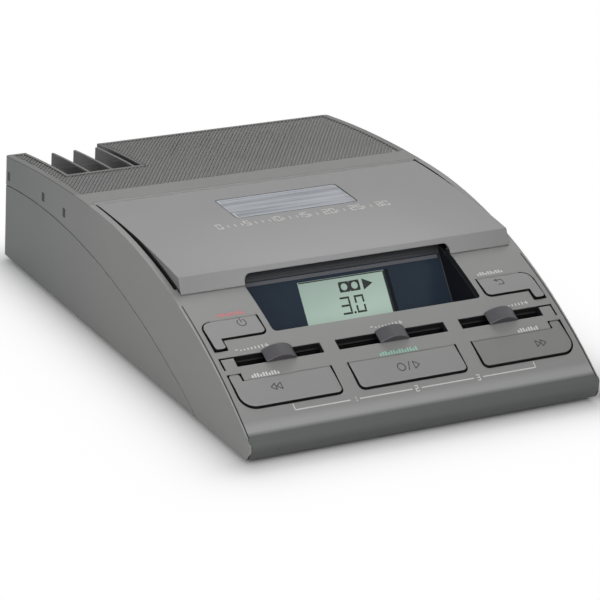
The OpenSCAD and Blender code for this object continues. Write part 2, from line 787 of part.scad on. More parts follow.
module top_cover() {
  color("#727270") difference() {
    union() {
      difference() {
        intersection() {
          along_x(body_w) side_profile(0, foot_h);
          plan_prism();
        }
        along_x(2 * inner_x) side_profile(roof_wall, -over);
        along_x(body_w + over) below_seam(seam_gap);
      }
      intersection() {
        linear_extrude(far) difference() {
          grille_plan(-0.6);
          grille_plan(grille_ledge);
        }
        roof_layer(grille_t, grille_t + 2.4);
        along_x(2 * inner_x + over) side_profile(over / 2, -over);
      }
      bay_tub();
      intersection() {
        cover_bosses();
        along_x(2 * inner_x + over) side_profile(over, -over);
      }
      panel_holders();
    }
    // Lid opening, display opening, keys and slots
    block(-inner_x, inner_x, lid_ledge_y, lid_rear_y, deck_z - over, far);
    on_slope() translate([0, 0, -4 * roof_wall]) linear_extrude(far)
      round_rect(-display_half, display_half, display_front, lid_front_y,
        [display_corner_r, display_corner_r, 0, 0]);
    on_slope() translate([0, 0, -2 * roof_wall]) linear_extrude(far) {
      play_outline(0, 0);
      for (s = [0, 1]) mirror([s, 0]) {
        power_outline(0, 0);
        rewind_outline(0, 0);
        translate([-key_out_x, slot_w / 2 - slit_w]) square([leg_w + over, slit_w]);
        translate([-key_out_x, slot_w / 2 - slit_l]) square([slit_w, slit_l]);
      }
      for (slide = slides)
        translate([slide[0] - slide[1], -slot_w / 2]) square([2 * slide[1], slot_w]);
    }
    // Rods of the keys
    on_slope() {
      rod(-rod_hole_x, rod_hole_x, front_pivot_u, front_pivot_w, rod_r + run_fit);
      both_sides() rod(-rod_hole_x, -tub_half, rear_pivot_u, rear_pivot_w, rod_r + run_fit);
      both_sides() for (u = control_screw_u)
        post(-bridge_x, u, small_screw_r + run_fit, -board_depth - over, -roof_wall - 1.2);
    }
    // Grille seat and sound opening, bays and sockets
    difference() {
      linear_extrude(far) grille_plan(0);
      along_x(body_w + over) under_roof(grille_t + seat_fit);
    }
    intersection() {
      linear_extrude(far) grille_plan(grille_ledge);
      along_x(body_w) translate([0, speaker_z - basket_h]) square([far, far]);
    }
    bay_spaces();
    for (i = [0:bays - 1])
      translate([bay_middle(i), bay_y + over, socket_z]) rotate([90, 0, 0])
        cylinder(r = socket_nose_r(i) + run_fit, h = bay_wall + 3);
    // Hinge pins of the lid, catch windows in the sides and screw holes
    rod(-inner_x - hinge_pin_out - 0.2, inner_x + hinge_pin_out + 0.2, hinge_y, hinge_z,
      hinge_pin_r + run_fit);
    both_sides() for (p = catch_places)
      translate([-half_w - over, p[0] - catch_w / 2, p[1] - catch_h / 2])
        cube([side_wall + 2 * over, catch_w, catch_h]);
    for (p = boss_places) post(p[0], p[1], screw_r + run_fit, boss_z - over, screw_end_z + 1);
  }
}

module base_tray() {
  color("#6c6c6a") difference() {
    union() {
      difference() {
        intersection() {
          along_x(body_w) intersection() {
            side_profile(0, foot_h);
            below_seam(0);
          }
          plan_prism();
        }
        block(-half_w + base_wall, half_w - base_wall, nose_y, rear_y - base_wall, floor_z, far);
      }
      block(-inner_x + loose_fit, inner_x - loose_fit, front_plate_y, -seam_y / 2, foot_h, floor_z);
      for (p = boss_places) post(p[0], p[1], boss_r + 1, foot_h, boss_z);
      for (p = deck_posts) post(p[0], p[1], deck_post_r, foot_h, plate_z);
      for (p = main_posts) post(p[0], p[1], small_head_r + 1, foot_h, main_board_z);
    }
    for (p = boss_places) {
      post(p[0], p[1], screw_r + loose_fit, 0, boss_z + over);
      post(p[0], p[1], screw_head_r + loose_fit, 0, screw_seat_z);
    }
    for (p = deck_posts) post(p[0], p[1], small_screw_r + run_fit, plate_z - deck_screw_l - over, far);
    for (p = main_posts) post(p[0], p[1], small_screw_r + run_fit, floor_z, far);
    for (p = foot_places) post(p[0], p[1], foot_r + seat_fit, 0, foot_h + foot_seat);
    block(bay_block_x0 - 0.4, bay_block_x1 + 0.4, bay_block_y, far, bay_floor_z - bay_wall - 0.2, far);
  }
}

module rubber_feet() {
  color("#202020") for (p = foot_places) {
    post(p[0], p[1], foot_r, 0.6, foot_h + foot_seat);
    post(p[0], p[1], foot_r - 0.6, 0, 1);
  }
}

module housing_screws() {
  color("silver") for (p = boss_places)
    screw_up(p[0], p[1], screw_seat_z, screw_end_z, screw_r, screw_head_r, screw_head_h);
}

// Main ribs of the grille, on top of its plate; short ones at its corners are left out
module main_ribs() {
  main_pitch = rib_step * rib_pitch;
  first = ceil((-grille_half * cos(rib_a) - grille_rear_y * sin(rib_a)) / main_pitch + 0.5);
  last = floor((grille_half * cos(rib_a) - grille_y * sin(rib_a)) / main_pitch - 0.5);
  intersection() {
    linear_extrude(far) grille_plan(rib_inset);
    roof_layer(rib_top, rib_h + hair);
    rotate(-rib_a) for (i = [first:last])
      translate([i * main_pitch - rib_w / 2, -far, 0]) cube([rib_w, 2 * far, far]);
  }
}

// Sound slots over the loudspeaker, each in a groove between two ribs
module sound_slots() {
  slot_r = speaker_hole_r - 4;
  sound_pitch = sound_step * rib_pitch;
  groove = rib_pitch / 2;
  across = speaker_x * cos(rib_a) - speaker_y * sin(rib_a);
  along = speaker_x * sin(rib_a) + speaker_y * cos(rib_a);
  first = ceil((across - slot_r + over - groove) / sound_pitch);
  last = floor((across + slot_r - over - groove) / sound_pitch);
  rotate(-rib_a) for (i = [first:last]) {
    middle = i * sound_pitch + groove;
    half = sqrt(pow(slot_r, 2) - pow(middle - across, 2));
    translate([middle - sound_slot_w / 2, along - half, speaker_z + 1]) cube([sound_slot_w, 2 * half, far]);
  }
}

module rear_grille() {
  color("#6a6a69") difference() {
    union() {
      intersection() {
        linear_extrude(far) grille_plan(0.2);
        roof_layer(rib_h, grille_t);
      }
      main_ribs();
      intersection() {
        for (a = speaker_screws_a) translate([speaker_x, speaker_y, speaker_z]) rotate(a)
          translate([speaker_hole_r, 0, 0]) cylinder(r = small_head_r + 0.2, h = far);
        along_x(body_w) under_roof(grille_t / 2);
      }
    }
    sound_slots();
    for (a = speaker_screws_a) translate([speaker_x, speaker_y, speaker_z - over]) rotate(a)
      translate([speaker_hole_r, 0, 0])
        cylinder(r = small_screw_r + run_fit, h = speaker_screw_h + 2 * over);
  }
}

// Lid

// Everything under the lid's top, lowered by a depth, as a side profile
module under_lid(depth) {
  intersection() {
    translate([crown_y, crown_h - lid_r]) circle(lid_r - depth, $fn = fine);
    translate([crown_y - far, 0]) square([far, far]);
  }
  intersection() {
    translate([crown_y, crown_h - roof_rear_r]) circle(roof_rear_r - depth, $fn = fine);
    translate([crown_y, 0]) square([hinge_y - crown_y, far]);
  }
}

// Side profile in front of the hinge and behind the leaning front face
module lid_span(wall) {
  low = roof_z(-lid_front_y);
  high = crown_h;
  polygon([[-lid_front_y + wall, low - far], [-lid_front_y + wall, low],
    [-lid_front_y + wall + lid_lean * (high - low) / 7, high], [hinge_y, high], [hinge_y, low - far]]);
}

module lid_shell() {
  along_x(2 * lid_half) difference() {
    intersection() {
      under_lid(0);
      lid_span(0);
    }
    translate([crown_y, roof_centre_z]) circle(roof_front_r - lid_skirt, $fn = fine);
  }
}

module cassette_lid() {
  window_half = window_w / 2;
  front = window_y - window_d / 2;
  rear = window_y + window_d / 2;
  flange = window_flange + seat_fit;
  color("#8e8e8d") difference() {
    union() {
      difference() {
        lid_shell();
        along_x(2 * (lid_half - lid_t)) intersection() {
          under_lid(lid_t);
          lid_span(lid_t);
        }
        // Clear of the ledge below the front
        along_x(body_w) intersection() {
          translate([crown_y, roof_centre_z]) circle(roof_front_r + loose_fit, $fn = fine);
          translate([lid_ledge_y + loose_fit - far, 0]) square([far, far]);
        }
      }
      along_x(2 * lid_half) translate([hinge_y, hinge_z]) circle(hinge_r);
      along_x(2 * lid_half) intersection() {
        difference() {
          under_lid(0);
          under_lid(lid_t);
        }
        lid_span(0);
      }
      intersection() {
        block(-window_half - 3, window_half + 3, front - 3, rear + 3, window_bottom_z, far);
        along_x(body_w) under_lid(lid_t / 2);
      }
    }
    // Notch over the display
    display_notch();
    // Window and its seat
    linear_extrude(far) round_rect(-window_half, window_half, front, rear, even(window_corner_r));
    block(-window_half - flange, window_half + flange, front - flange, rear + flange, 0, window_seat_z);
    rod(-lid_half - over, -lid_half + hinge_pin_in, hinge_y, hinge_z, hinge_pin_r + run_fit / 2);
    rod(lid_half - hinge_pin_in, lid_half + over, hinge_y, hinge_z, hinge_pin_r + run_fit / 2);
  }
}

// Cut below the lid's front edge, with round upper corners
module display_notch() {
  top = crown_h - pow(crown_y + lid_front_y - lid_lean, 2) / 2 / lid_r - lid_t;
  translate([0, lid_ledge_y + loose_fit, 0]) rotate([90, 0, 0]) linear_extrude(far)
    round_rect(-notch_w / 2, notch_w / 2, 0, top, [0, 0, notch_corner_r, notch_corner_r]);
}

module lid_window() {
  x = window_w / 2 - seat_fit;
  y = window_d / 2 - seat_fit;
  f = window_flange;
  color("#9fb0bd") translate([0, window_y, 0]) {
    translate([0, 0, window_seat_z - 0.4]) linear_extrude(window_lens_z - window_seat_z + 0.4)
      round_rect(-x, x, -y, y, even(window_corner_r - seat_fit));
    block(-x - f, x + f, -y - f, y + f, window_bottom_z + 0.2, window_seat_z);
  }
}

module lid_hinge_pins() {
  color("silver") {
    rod(-inner_x - hinge_pin_out, -lid_half + hinge_pin_in, hinge_y, hinge_z, hinge_pin_r);
    rod(lid_half - hinge_pin_in, inner_x + hinge_pin_out, hinge_y, hinge_z, hinge_pin_r);
  }
}

// Cassette deck

module deck_cover() {
  x = inner_x - 0.6;
  wall_x = lid_half - lid_t - 0.6;
  guide_x = cassette_w / 2 + loose_fit;
  stop_y = cassette_y + cassette_d / 2 + loose_fit;
  front = -display_y + deck_front;
  color("#3c3d40") difference() {
    union() {
      block(-x, x, front, lid_rear_y - over, deck_z - deck_t, deck_z);
      both_sides() block(tub_half + 0.6, x, lid_ledge_y + 0.6, front + over, deck_z - deck_t, deck_z);
      block(-wall_x, wall_x, front, front + guide_t, deck_z - deck_t, deck_wall_z);
      both_sides() block(guide_x, guide_x + guide_t, cassette_y - guide_half, cassette_y + guide_half,
        deck_z - deck_t, deck_z + guide_h);
      both_sides() block(guide_x - stop_w, guide_x, stop_y, stop_y + guide_t,
        deck_z - deck_t, deck_z + guide_h);
    }
    for (s = [-1, 1]) post(s * reel_x, reel_y, hub_r + 0.2, 0, far);
    for (s = [-1, 1]) post(s * carriage_pin_x, carriage_pin_y, shaft_r + run_fit, deck_z - 1.4, far);
  }
}

module deck_plate() {
  color("#b9bcc0") difference() {
    block(-plate_half, plate_half, plate_y0, plate_y1, plate_z, plate_top);
    for (p = deck_posts) post(p[0], p[1], small_screw_r + loose_fit, 0, far);
    for (s = [-1, 1]) post(s * reel_x, reel_y, shaft_r + run_fit, 0, far);
    post(0, -drive_y, shaft_r + run_fit, 0, far);
    post(motor_x, -drive_y, motor_nose_r + seat_fit, 0, far);
  }
}

module deck_screws() {
  color("silver") for (p = deck_posts)
    screw_down(p[0], p[1], plate_top, plate_z - deck_screw_l, small_screw_r, small_head_r, small_head_h);
}

module cassette_shell() {
  w = cassette_wall;
  x = cassette_w / 2;
  color("#4a4c52") translate([0, cassette_y, cassette_z]) difference() {
    linear_extrude(cassette_t)
      round_rect(-x, x, -cassette_d / 2, cassette_d / 2, even(cassette_corner_r));
    block(-x + w, x - w, -cassette_d / 2 + w, cassette_d / 2 - w, w, cassette_t - w);
    for (s = [-1, 1]) post(s * reel_x, reel_y - cassette_y, hub_r + 0.2, -over, far);
    block(-mouth_half, mouth_half, -cassette_d, 0, w, cassette_t - w - 0.4);
  }
}

// Hub and the tape wound on it, between the walls of the cassette
module tape_reel(side, pack_r) {
  low = cassette_z + cassette_wall + loose_fit;
  high = cassette_top - cassette_wall - loose_fit;
  color("#3a2a22") translate([side * reel_x, reel_y, 0]) difference() {
    union() {
      post(0, 0, hub_r, low, high);
      post(0, 0, pack_r, low + tape_edge, high - tape_edge);
    }
    post(0, 0, spindle_r + loose_fit, 0, far);
  }
}
module left_tape_reel() tape_reel(-1, left_pack_r);
module right_tape_reel() tape_reel(1, right_pack_r);

// Turntable with a three-winged spindle that runs on a fixed shaft
module turntable(side) {
  color("#2c2d30") translate([side * reel_x, reel_y, 0]) difference() {
    union() {
      post(0, 0, turntable_r, wheel_z, wheel_z + wheel_t);
      post(0, 0, turntable_hub_r, plate_top + loose_fit, wheel_z + over);
      post(0, 0, spindle_r - 0.6, wheel_z, cassette_top - 1.6);
      for (a = [0:120:240]) rotate(a) block(0, spindle_r, -0.5, 0.5, wheel_z, cassette_top - 2.2);
    }
    post(0, 0, shaft_r + run_fit, 0, cassette_z + 1.2);
  }
}
module left_turntable() turntable(-1);
module right_turntable() turntable(1);

module deck_shafts() {
  color("silver") {
    for (s = [-1, 1]) post(s * reel_x, reel_y, shaft_r, plate_z, cassette_z + over);
    post(0, -drive_y, shaft_r, plate_z, wheel_z + wheel_t + 0.2);
  }
}

module motor() {
  color("#a9adb2") translate([motor_x, -drive_y, 0]) difference() {
    union() {
      post(0, 0, motor_r, plate_z - motor_h, plate_z);
      post(0, 0, motor_nose_r, plate_z - over, plate_z + plate_t - loose_fit);
      post(0, 0, motor_boss_r, plate_z - motor_h - over, plate_z - motor_h + over);
    }
    post(0, 0, motor_shaft_r + run_fit, plate_z - motor_h + 3, far);
  }
}

module motor_pulley() {
  color("#c9a24a") translate([motor_x, -drive_y, 0]) {
    post(0, 0, motor_pulley_r, belt_z, belt_z + belt_t + rim_h);
    post(0, 0, motor_pulley_r + 2 * rim_h, belt_z + belt_t + rim_h, belt_z + belt_t + 2 * rim_h);
    post(0, 0, motor_shaft_r, plate_z - motor_h + 4, belt_z + belt_t / 2);
  }
}

// Body inside a belt round two wheels on the X axis. Its straight runs start a hair inside the wheels
module belt_body(ra, rb, distance, low, high) {
  k = (ra - rb) / distance;
  c = sqrt(1 - k * k);
  a = ra - hair;
  b = rb - hair;
  x = distance + b * k;
  post(0, 0, ra, low, high);
  post(distance, 0, rb, low, high);
  translate([0, 0, low]) linear_extrude(high - low)
    polygon([[a * k, a * c], [x, b * c], [x, -b * c], [a * k, -a * c]]);
}

module drive_belt() {
  ra = drive_r + seat_fit;
  rb = motor_pulley_r + seat_fit;
  low = belt_z + rim_h / 2;
  high = low + belt_t;
  color("#1c1c1c") translate([0, -drive_y, 0]) difference() {
    belt_body(ra + belt_t, rb + belt_t, motor_x, low, high);
    belt_body(ra, rb, motor_x, low - over, high + over);
  }
}

module drive_pulley() {
  color("#d8d4c8") translate([0, -drive_y, 0]) difference() {
    union() {
      post(0, 0, drive_r, belt_z, belt_z + belt_t + rim_h);
      post(0, 0, drive_hub_r, belt_z, wheel_z + over);
      post(0, 0, drive_r, wheel_z, wheel_z + wheel_t);
    }
    post(0, 0, shaft_r + run_fit, 0, far);
  }
}

module idler_arm() {
  reach = idler_y + drive_y;
  color("#9a9da1") translate([0, -drive_y, 0]) difference() {
    union() {
      post(0, 0, 4, arm_z, arm_z + arm_t);
      post(0, reach, 2.4, arm_z, arm_z + arm_t);
      block(-2, 2, 0, reach, arm_z, arm_z + arm_t);
      post(0, reach, idler_shaft_r, arm_z, wheel_z + wheel_t + 0.1);
    }
    post(0, 0, drive_hub_r + run_fit, 0, far);
  }
}

module idler_wheel() {
  color("#26262a") translate([0, idler_y, 0]) difference() {
    post(0, 0, idler_r, wheel_z, wheel_z + wheel_t);
    post(0, 0, idler_shaft_r + run_fit, 0, far);
  }
}

module head_carriage() {
  color("#b4b7bb") difference() {
    block(-carriage_half, carriage_half, carriage_pin_y - head_stroke - carriage_front,
      carriage_pin_y + carriage_rear, carriage_z, carriage_z + carriage_t);
    for (s = [-1, 1]) {
      x = s * carriage_pin_x;
      r = shaft_r + seat_fit;
      post(x, carriage_pin_y, r, 0, far);
      post(x, carriage_pin_y - head_stroke, r, 0, far);
      block(x - r, x + r, carriage_pin_y - head_stroke, carriage_pin_y, 0, far);
    }
  }
}

// Head block with a rounded face towards the tape
module head_block(sides) {
  face_y = tape_y - tape_gap;
  color("#d5d7da") intersection() {
    block(sides[0], sides[1], carriage_pin_y - over, face_y,
      carriage_z + carriage_t, cassette_top - head_drop);
    post((sides[0] + sides[1]) / 2, face_y - head_face_r, head_face_r, 0, far);
  }
}
module sound_head() head_block(sound_head_x);
module erase_head() head_block(erase_head_x);

module carriage_pins() {
  head_z = carriage_z + carriage_t + loose_fit;
  color("silver") for (s = [-1, 1])
    screw_down(s * carriage_pin_x, carriage_pin_y, head_z, deck_z - 1.4, shaft_r, 2 * shaft_r, 0.8);
}

// Display

// Tub behind the display opening: two cheeks, a sloping floor and the frame of the glass
module display_bezel() {
  v = glass_half + 1;
  frame_half = tub_half - tub_wall / 2;
  glass_low = [-display_y - v * cos(display_a), display_z - v * sin(display_a)];
  glass_high = [-display_y + v * cos(display_a), display_z + v * sin(display_a)];
  lip = [-slot_y + display_front * cos(slope_a) - 0.4,
    roof_z(-slot_y) + display_front * sin(slope_a) - roof_wall];
  floor_drop = 1.4 * tub_wall;
  color("#55585d") difference() {
    union() {
      along_x(2 * tub_half) intersection() {
        under_roof(roof_wall + 0.2);
        polygon([[lip[0] - tub_wall, lip[1] - floor_drop], [glass_low[0], glass_low[1] - floor_drop],
          glass_low, glass_high, [glass_high[0], far], [lip[0] - tub_wall, far]]);
      }
      on_display() {
        block(-frame_half, frame_half, -v, v, -glass_t - frame_t, 0.6);
        block(-frame_half, frame_half, v - over, v + 3, -tub_wall, 0.6);
      }
    }
    along_x(2 * display_half) polygon([lip, glass_low, glass_high, [glass_high[0], far], [lip[0], far]]);
    on_display() {
      block(-display_half + 0.2, display_half - 0.2, -glass_half - seat_fit, glass_half + seat_fit,
        -glass_t - seat_fit / 2, far);
      block(-lcd_w / 2 - 0.4, lcd_w / 2 + 0.4, -lcd_h / 2 - 0.4, lcd_h / 2 + 0.4, -far, 0);
    }
  }
}

module display_glass() {
  x = display_half - 0.2 - seat_fit;
  color("#2c3440") on_display() difference() {
    block(-x, x, -glass_half, glass_half, -glass_t, 0);
    block(-lcd_w / 2, lcd_w / 2, -lcd_h / 2, lcd_h / 2, -far, far);
  }
}

module lcd_panel() {
  x = lcd_w / 2 - seat_fit;
  y = lcd_h / 2 - seat_fit;
  color("#a9bda9") on_display() block(-x, x, -y, y, -glass_t - frame_t, -lcd_inset);
}

module lcd_board() {
  x = lcd_w / 2 + 6;
  y = lcd_h / 2 + 2.5;
  color("#2f5d3a") on_display()
    block(-x, x, -y, y, -glass_t - frame_t - board_t, -glass_t - frame_t);
}

// Keys

module power_key() {
  color("#8a8a89") on_slope()
    key(rear_pivot_u, rear_pivot_w, -key_out_x + outer_corner_r, -power_in_x - front_barrel_in,
      -(key_out_x + power_in_x) / 2, rear_stem_u) power_outline(key_gap, key_rear_gap);
}
module search_key() {
  color("#8a8a89") mirror([1, 0, 0]) on_slope()
    key(rear_pivot_u, rear_pivot_w, -key_out_x + outer_corner_r, -power_in_x - front_barrel_in,
      -(key_out_x + power_in_x) / 2, rear_stem_u) power_outline(key_gap, key_rear_gap);
}
module rewind_key() {
  color("#8a8a89") on_slope()
    key(front_pivot_u, front_pivot_w, -key_out_x + front_barrel_in, -side_in_x - front_barrel_in,
      speed_x, front_stem_u) rewind_outline(key_gap, key_rear_gap);
}
module wind_key() {
  color("#8a8a89") mirror([1, 0, 0]) on_slope()
    key(front_pivot_u, front_pivot_w, -key_out_x + front_barrel_in, -side_in_x - front_barrel_in,
      speed_x, front_stem_u) rewind_outline(key_gap, key_rear_gap);
}
module play_key() {
  color("#8a8a89") on_slope()
    key(front_pivot_u, front_pivot_w, -play_half + front_barrel_in, play_half - front_barrel_in,
      0, front_stem_u) play_outline(key_gap, key_rear_gap);
}

module front_key_rod() {
  color("silver") on_slope() rod(-rod_end, rod_end, front_pivot_u, front_pivot_w, rod_r);
}
module rear_key_rods() {
  color("silver") on_slope() both_sides()
    rod(-rod_end, -tub_half - 0.2, rear_pivot_u, rear_pivot_w, rod_r);
}

// Rubber mats with a contact pad under each key's post
module key_mats() {
  power_x = (key_out_x + power_in_x) / 2;
  z = -board_depth;
  color("#2b2b2d") on_slope() {
    difference() {
      block(-board_half + over, board_half - over, -front_key_front, -front_key_rear, z, z + mat_t);
      for (s = [-1, 1])
        post(s * bridge_x, control_screw_u[0], small_head_r + 0.7, z - over, z + mat_t + over);
    }
    for (x = [speed_x, 0, -speed_x]) post(x, front_stem_u, pad_r, z, z + mat_t + pad_h);
    both_sides() {
      block(power_x - rear_mat_half, power_x + rear_mat_half, rear_stem_u - rear_mat_d / 2,
        rear_stem_u + rear_mat_d / 2, z, z + mat_t);
      post(power_x, rear_stem_u, pad_r, z, z + mat_t + pad_h);
    }
  }
}

module control_board() {
  low = -board_depth - board_t;
  color("#2f5d3a") on_slope() difference() {
    union() {
      block(-board_half, board_half, -front_key_front - 1, display_front - 2.6, low, -board_depth);
      both_sides()
        block(power_in_x + 2, board_half, 0, rear_key_rear - 2, low, -board_depth);
    }
    for (u = control_screw_u) for (s = [-1, 1])
      post(s * bridge_x, u, small_screw_r + loose_fit, low - over, 0);
  }
}

module control_board_screws() {
  color("silver") on_slope() both_sides() for (u = control_screw_u)
    screw_up(-bridge_x, u, -board_depth - board_t, -roof_wall - 1.6,
      small_screw_r, small_head_r, small_head_h);
}

// Slide controls

module slide_pots() {
  z = -board_depth;
  color("#8d9196") on_slope() for (slide = slides) translate([slide[0], 0, 0]) difference() {
    block(-slide[1] - pot_end, slide[1] + pot_end, -pot_d / 2, pot_d / 2, z, z + pot_h);
    block(-slide[1] - 1, slide[1] + 1, -lever_d / 2 - lever_gap, lever_d / 2 + lever_gap, z + 1, over);
  }
}

module lever(i) {
  color("#3a3b3e") on_slope() translate([slides[i][0], 0, 0])
    block(-lever_w / 2, lever_w / 2, -lever_d / 2, lever_d / 2, lever_foot_w, knob_gap + 1);
}
module speed_lever() lever(0);
module volume_lever() lever(1);
module tone_lever() lever(2);

// Knob: an arched cap with a socket for its lever
module knob(i) {
  r = (pow(knob_w / 2, 2) + pow(knob_h, 2)) / 2 / knob_h;
  color("#4b484e") on_slope() translate([slides[i][0], 0, knob_gap]) difference() {
    rotate([90, 0, 0]) linear_extrude(knob_d, center = true) intersection() {
      translate([0, knob_h - r]) circle(r);
      translate([-knob_w, 0]) square([2 * knob_w, knob_w]);
    }
    block(-lever_w / 2 - run_fit, lever_w / 2 + run_fit, -lever_d / 2 - run_fit, lever_d / 2 + run_fit,
      -over, 1 + run_fit);
  }
}
module speed_knob() knob(0);
module volume_knob() knob(1);
module tone_knob() knob(2);

// Boards, loudspeaker and sockets

module main_board() {
  color("#2f5d3a") difference() {
    block(-main_board_half, main_board_half, main_board_y0, main_board_y1,
      main_board_z, main_board_z + board_t);
    for (p = main_posts) post(p[0], p[1], small_screw_r + loose_fit, 0, far);
    for (p = deck_posts) post(p[0], p[1], deck_post_r + 0.6, 0, far);
  }
}

module main_board_screws() {
  color("silver") for (p = main_posts)
    screw_down(p[0], p[1], main_board_z + board_t, floor_z + loose_fit,
      small_screw_r, small_head_r, small_head_h);
}

module board_parts() {
  z = main_board_z + board_t;
  color("#1f2023") {
    for (c = chips) block(c[0], c[0] + c[2], c[1], c[1] + c[3], z, z + c[4]);
    for (c = capacitors) post(c[0], c[1], c[2], z, z + c[3]);
  }
}

module speaker_frame() {
  low = -basket_h;
  color("#5a5c60") translate([speaker_x, speaker_y, speaker_z]) difference() {
    rotate_extrude() polygon([[magnet_r - 4, low], [magnet_r + 1, low], [speaker_edge_r, -flange_t],
      [speaker_r, -flange_t], [speaker_r, 0], [speaker_edge_r, 0], [speaker_edge_r - 0.4, -flange_t],
      [magnet_r, low + 1.2], [magnet_r - 4, low + 1.2]]);
    for (a = speaker_screws_a) rotate(a) post(speaker_hole_r, 0, small_screw_r + loose_fit, -far, over);
  }
}

module speaker_magnet() {
  color("#3b3d41") translate([speaker_x, speaker_y, speaker_z - basket_h - magnet_h]) {
    cylinder(r = magnet_r, h = magnet_h);
    cylinder(r = pole_r, h = magnet_h + pole_h);
  }
}

module speaker_cone() {
  edge = speaker_edge_r - 1.2;
  color("#1d1d1f") translate([speaker_x, speaker_y, speaker_z]) rotate_extrude()
    polygon([[0, dome_z], [dome_r, dome_z], [edge - surround_w, -1.4], [edge - surround_w / 2, -0.4],
      [edge, -1.2], [edge, -2], [edge - surround_w / 2, -1.2], [edge - surround_w, -2.4],
      [dome_r + 1, dome_z - cone_t], [0, dome_z - cone_t]]);
}

module speaker_screws() {
  color("silver") translate([speaker_x, speaker_y, speaker_z]) for (a = speaker_screws_a) rotate(a)
    screw_up(speaker_hole_r, 0, -flange_t, speaker_screw_h, small_screw_r, small_head_r, small_head_h);
}

module socket_board() {
  color("#2f5d3a") block(bay_block_x0, bay_block_x1, socket_front_y - socket_d - board_t,
    socket_front_y - socket_d, socket_z - socket_h, socket_z + socket_h - over);
}

// Socket in a plug bay: a square body behind the wall and a round nose through it
module socket(i, bore_r, pin_r) {
  y = socket_front_y - socket_d;
  deep = bay_y - y - socket_back;
  color("#232427") translate([bay_middle(i), 0, socket_z]) {
    difference() {
      union() {
        block(-socket_w / 2, socket_w / 2, y, socket_front_y, -socket_h / 2, socket_h / 2);
        translate([0, socket_front_y - over, 0]) rotate([-90, 0, 0])
          cylinder(r = socket_nose_r(i), h = bay_y - socket_front_y + over);
      }
      translate([0, bay_y + over, 0]) rotate([90, 0, 0]) cylinder(r = bore_r, h = deep + over);
    }
    if (pin_r > 0) translate([0, y + socket_back / 2, 0]) rotate([-90, 0, 0])
      cylinder(r = pin_r, h = deep);
  }
}
module power_inlet() socket(2, inlet_bore_r, inlet_pin_r);
module headphone_socket() socket(0, phone_bore_r, 0);
module pedal_socket() socket(1, pedal_bore_r, 0);

top_cover();
base_tray();
rubber_feet();
housing_screws();
rear_grille();
cassette_lid();
lid_window();
lid_hinge_pins();
deck_cover();
deck_plate();
deck_screws();
cassette_shell();
left_tape_reel();
right_tape_reel();
left_turntable();
right_turntable();
deck_shafts();
motor();
motor_pulley();
drive_belt();
drive_pulley();
idler_arm();
idler_wheel();
head_carriage();
sound_head();
erase_head();
carriage_pins();
display_bezel();
display_glass();
lcd_panel();
lcd_board();
power_key();
search_key();
rewind_key();
play_key();
wind_key();
front_key_rod();
rear_key_rods();
key_mats();
control_board();
control_board_screws();
slide_pots();
speed_lever();
volume_lever();
tone_lever();
speed_knob();
volume_knob();
tone_knob();
main_board();
main_board_screws();
board_parts();
speaker_frame();
speaker_magnet();
speaker_cone();
speaker_screws();
socket_board();
headphone_socket();
pedal_socket();
power_inlet();
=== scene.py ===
# %% [markdown]
# A dictation machine, dressed for its portrait.
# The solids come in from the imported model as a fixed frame, in metres. This lesson gives each of them its
# finish, adds the fine pieces that are too small for the solids, such as printed marks and the ribs of the
# grille, and then sets up a camera and a plain studio.

# %% Load the frame
import math

import bmesh
import bpy
from mathutils import Matrix, Vector
from mathutils.bvhtree import BVHTree


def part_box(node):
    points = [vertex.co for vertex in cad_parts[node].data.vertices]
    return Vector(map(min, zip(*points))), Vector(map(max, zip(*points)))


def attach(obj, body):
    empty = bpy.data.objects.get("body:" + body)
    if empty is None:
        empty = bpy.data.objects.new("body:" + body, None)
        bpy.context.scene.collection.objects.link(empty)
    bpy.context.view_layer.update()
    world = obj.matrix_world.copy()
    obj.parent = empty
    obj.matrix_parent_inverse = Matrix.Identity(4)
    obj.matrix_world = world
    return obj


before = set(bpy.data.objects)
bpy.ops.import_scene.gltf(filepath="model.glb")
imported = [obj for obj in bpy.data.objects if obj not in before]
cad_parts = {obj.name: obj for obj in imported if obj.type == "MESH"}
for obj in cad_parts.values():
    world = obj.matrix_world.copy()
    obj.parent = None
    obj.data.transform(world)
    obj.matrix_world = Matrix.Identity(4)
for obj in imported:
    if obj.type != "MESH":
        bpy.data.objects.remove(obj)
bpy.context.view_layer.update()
mm = 0.001

# %% [markdown]
# The camera stands in front of the machine's left corner and looks down on it through a long lens.
# Its place was worked out from the corners of the housing, so it is written as a point and three directions
# rather than as angles.

# %% Camera
def camera_at(place, right, up, back, lens, sensor=36.0, reach=20.0):
    data = bpy.data.cameras.new("portrait_camera")
    data.sensor_width = sensor
    data.lens = lens
    data.clip_end = reach
    camera = bpy.data.objects.new("portrait_camera", data)
    turn = Matrix((right, up, back)).transposed().to_4x4()
    camera.matrix_world = Matrix.Translation(Vector(place) * mm) @ turn
    bpy.context.scene.collection.objects.link(camera)
    bpy.context.scene.camera = camera
    return camera


camera = camera_at(
    place=(-618.627, -1084.108, 524.064),
    right=(0.876101, -0.479244, 0.052657),
    up=(0.139211, 0.356020, 0.924051),
    back=(-0.461600, -0.802220, 0.378630),
    lens=185.3,
)
print("camera lens:", camera.data.lens, "mm")

# %% [markdown]
# Finishes are written as sums on sockets. One small class stands for a socket: adding, multiplying or
# comparing it makes the Math nodes, and its method called node makes any other node there is. It keeps each
# finish short enough to read as a recipe.

